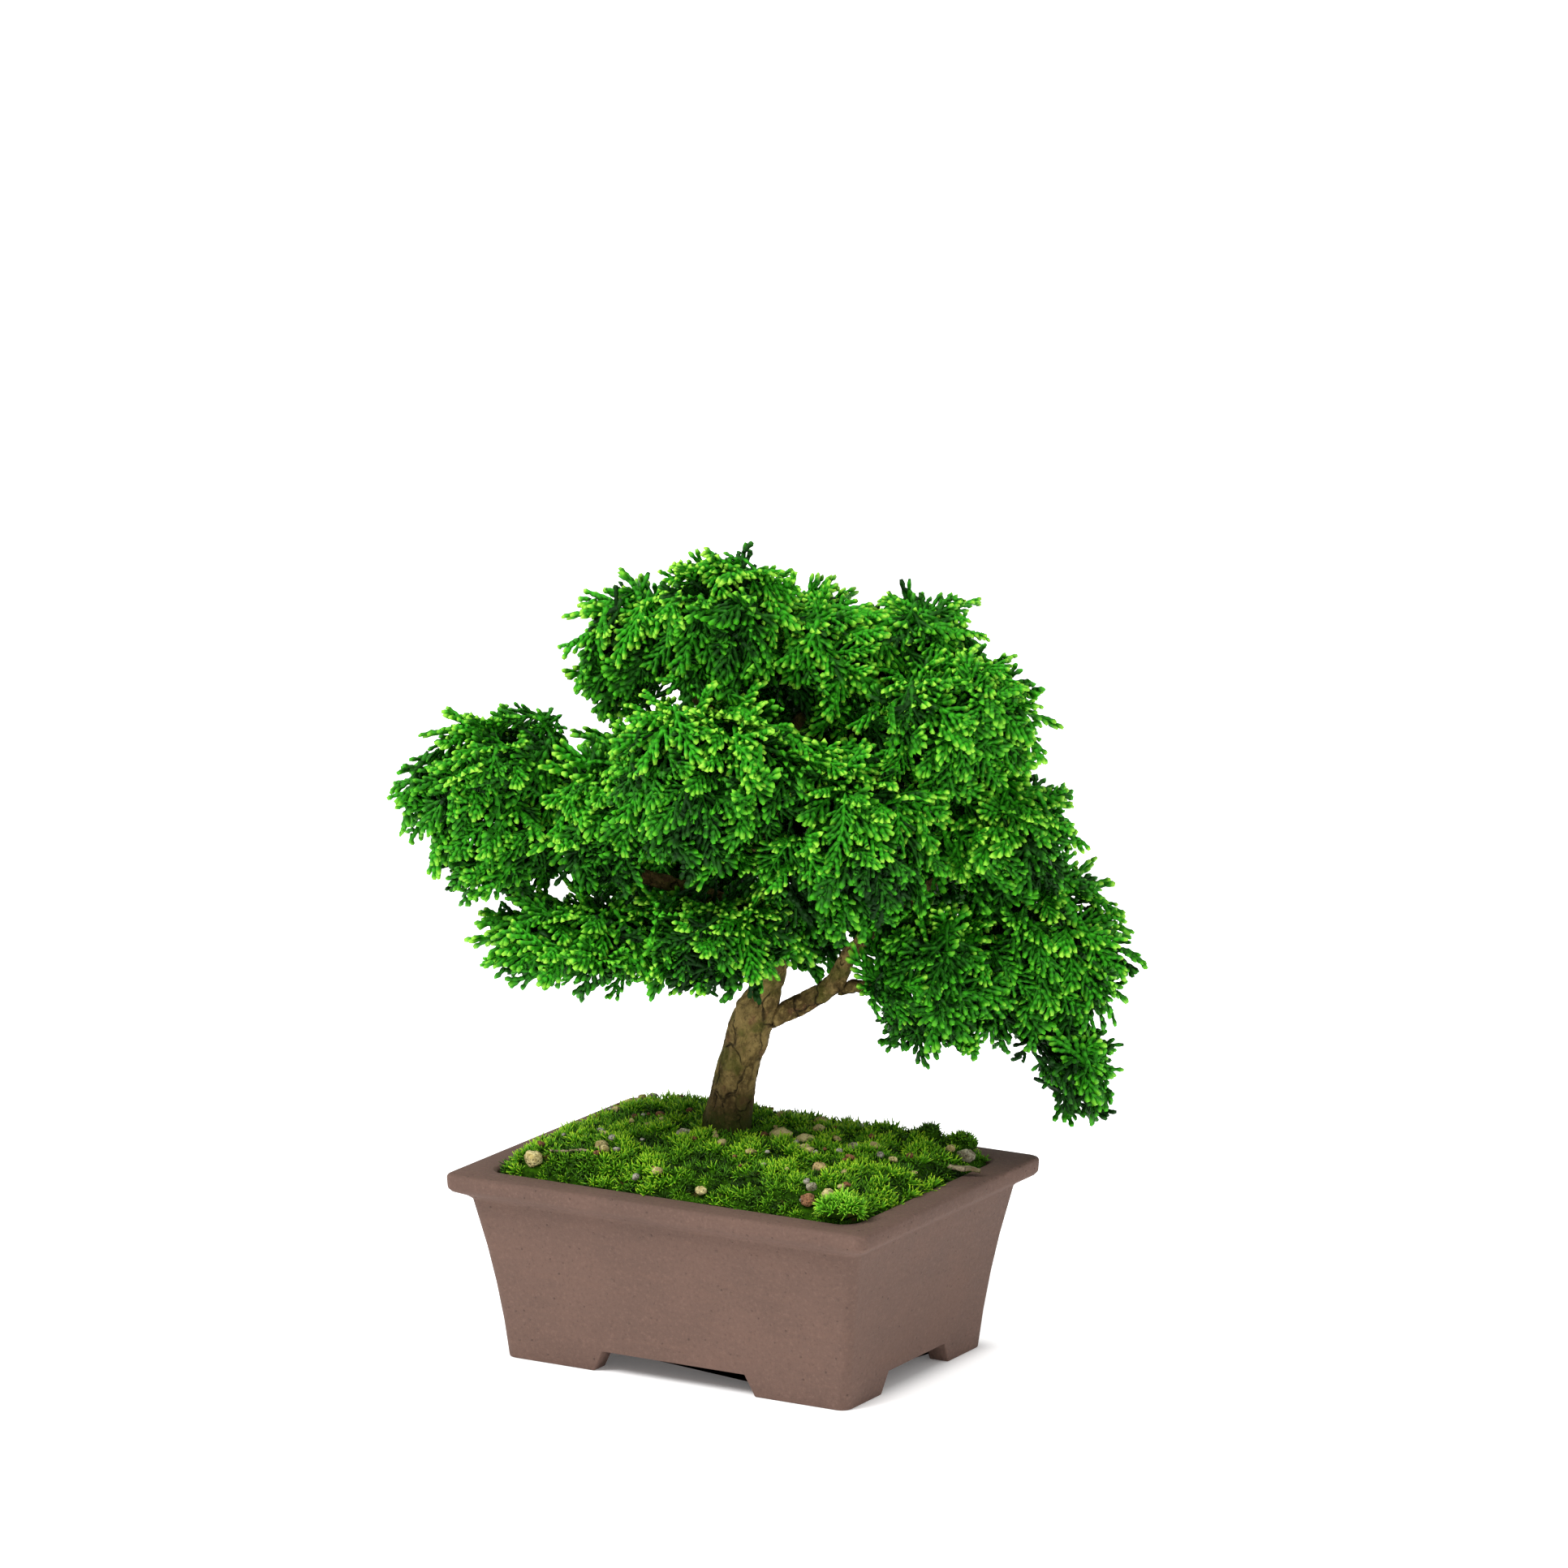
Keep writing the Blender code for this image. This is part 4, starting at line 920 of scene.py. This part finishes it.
class MakeLeaves(Operator):
    """Flat fans of scale leaves on every mass of foliage"""
    bl_idname = "bonsai.make_leaves"
    bl_label = "Leaves"

    def execute(self, context):
        sizes, colours = context.scene.bonsai_sizes, context.scene.bonsai_colours
        rng = random.Random(5)
        length, width = sizes.spray_length, sizes.branchlet_width
        full = [spray_template(rng, length, width, 9 + k % 2, 4) for k in range(9)]
        plain = [spray_template(rng, length, width, 6, 0) for _ in range(4)]
        # The first colour, a tenth of the leaf's, is the painted shade that fans of low tone take.
        leaf = strand_finish("scale_leaves", shade(colours.leaf, 0.09, (0.7, 1, 1.2)),
                             colours.leaf, shade(colours.leaf, 1.15, (1.3, 1, 0.9)),
                             colours.tip, 0.5)
        low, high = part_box("trunk")
        stem = (low + high) / 2
        low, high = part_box("limb_low_right_fork")
        fork = Vector((low.x, low.y, high.z)) + FORK_FROM_CORNER
        masses = {}
        for node in FOLIAGE:
            bm = merged_copy(node)
            bmesh.ops.triangulate(bm, faces=bm.faces[:])
            bm.normal_update()
            masses[node] = (bm, BVHTree.FromBMesh(bm))
        for node in FOLIAGE:
            bm, own = masses[node]
            others = [tree for name, (_, tree) in masses.items() if name != node]

            def in_the_open(point, normal):
                if (point - fork).length < FORK_WINDOW:
                    return False
                probe = point + normal * BUTTED_PROBE
                for tree in others:
                    place, side, _, away = tree.find_nearest(probe, 0.02)
                    if place is None or away <= BUTTED_DEPTH:
                        continue
                    if (probe - place).dot(side) < 0:
                        return False
                return True

            growth = bmesh.new()
            growth.loops.layers.uv.new(STRAND_MAP)
            low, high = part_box(node)
            crown = (low + high) / 2
            crown.z = high.z
            rosettes = [(place, rng.uniform(-0.24, 0.24), rng.uniform(-0.002, 0.005))
                        for place, _ in
                        scatter(bm.faces[:], sizes.rosette_spacing, rng, 12, in_the_open)]
            for inner in (False, True):
                spacing = sizes.spray_spacing * (INNER_SPACING if inner else 1.0)
                for point, normal in scatter(bm.faces[:], spacing, rng, 2.2, in_the_open):
                    heart, kin, stand = min(rosettes,
                                            key=lambda tuft: (tuft[0] - point).length)
                    away = point - heart
                    away -= normal * away.dot(normal)
                    spread = min(1.0, away.length / (0.62 * sizes.rosette_spacing))
                    if away.length > 0.0001:
                        away.normalize()
                    top, under = max(0.0, normal.z), max(0.0, -normal.z)
                    outward = point - stem
                    outward.z = 0
                    outward.normalize()
                    fall = point - crown
                    fall -= normal * fall.dot(normal)
                    if fall.length > 0.0001:
                        fall.normalize()
                    aim = (normal * rng.uniform(0.15, 0.85) + away * (0.15 + 0.5 * spread)
                           + fall * 0.5 + outward * 0.35 + UP * (0.25 * top - 0.25 * under)
                           + Vector([rng.uniform(-0.2, 0.2) for _ in range(3)]))
                    aim.normalize()
                    reach = length * rng.uniform(0.8, 1.12)
                    root = (point + normal * (stand * (1 - spread) - FAN_ROOT_SINK)
                            - aim * reach * rng.uniform(0.5, 0.66))
                    if inner:
                        root -= normal * INNER_SINK
                    tip = root + aim * reach
                    near, side, _, away_by = own.find_nearest(tip)
                    if away_by > sizes.stand_proud and (tip - near).dot(side) > 0:
                        root -= aim * (away_by - sizes.stand_proud)
                    turn = facing(aim, normal + UP * 0.3)
                    roll = Matrix.Rotation(rng.gauss(0, 0.3), 4, "Y")
                    scale = Matrix.Scale(reach / length, 4)
                    # Tone: real variation (kin, noise, chance) plus painted highlight on upward
                    # and higher fans and painted shade on downward ones.
                    level = (0.53 + kin + 0.26 * noise.noise(point / 0.03)
                             + rng.uniform(-0.14, 0.14) + 0.18 * top - 0.26 * under
                             + 0.9 * (point.z - 0.23))
                    # Inner fans: painted shade.
                    if inner:
                        level *= INNER_PAINTED_SHADE
                    plant(growth, rng.choice(plain if inner else full),
                          Matrix.Translation(root) @ turn @ roll @ scale, level)
            make_piece(growth, node.replace("foliage", "leaves"), leaf, "foliage", node)
        for bm, _ in masses.values():
            bm.free()
        return {"FINISHED"}


# ---------------------------------------------------------------- panel
STEPS = (MakeStage, MakePot, MakeFittings, MakeMoss, MakeStones, MakeGrit, MakeLitter, MakeWood,
         MakeLeaves)


class BonsaiPanel(Panel):
    bl_idname = "BONSAI_PT_maker"
    bl_label = "Bonsai"
    bl_space_type = "VIEW_3D"
    bl_region_type = "UI"
    bl_category = "Bonsai"

    def draw(self, context):
        for group in (context.scene.bonsai_sizes, context.scene.bonsai_colours):
            for name in group.__annotations__:
                self.layout.prop(group, name)
        for step in STEPS:
            self.layout.operator(step.bl_idname)


CLASSES = (BonsaiSizes, BonsaiColours, *STEPS, BonsaiPanel)


def register():
    for item in CLASSES:
        bpy.utils.register_class(item)
    bpy.types.Scene.bonsai_sizes = PointerProperty(type=BonsaiSizes)
    bpy.types.Scene.bonsai_colours = PointerProperty(type=BonsaiColours)


def unregister():
    del bpy.types.Scene.bonsai_sizes
    del bpy.types.Scene.bonsai_colours
    for item in reversed(CLASSES):
        bpy.utils.unregister_class(item)


def main():
    register()
    bpy.ops.bonsai.make_stage()
    bpy.ops.bonsai.make_pot()
    bpy.ops.bonsai.make_fittings()
    bpy.ops.bonsai.make_moss()
    bpy.ops.bonsai.make_stones()
    bpy.ops.bonsai.make_grit()
    bpy.ops.bonsai.make_litter()
    bpy.ops.bonsai.make_wood()
    bpy.ops.bonsai.make_leaves()


if __name__ == "__main__":
    main()
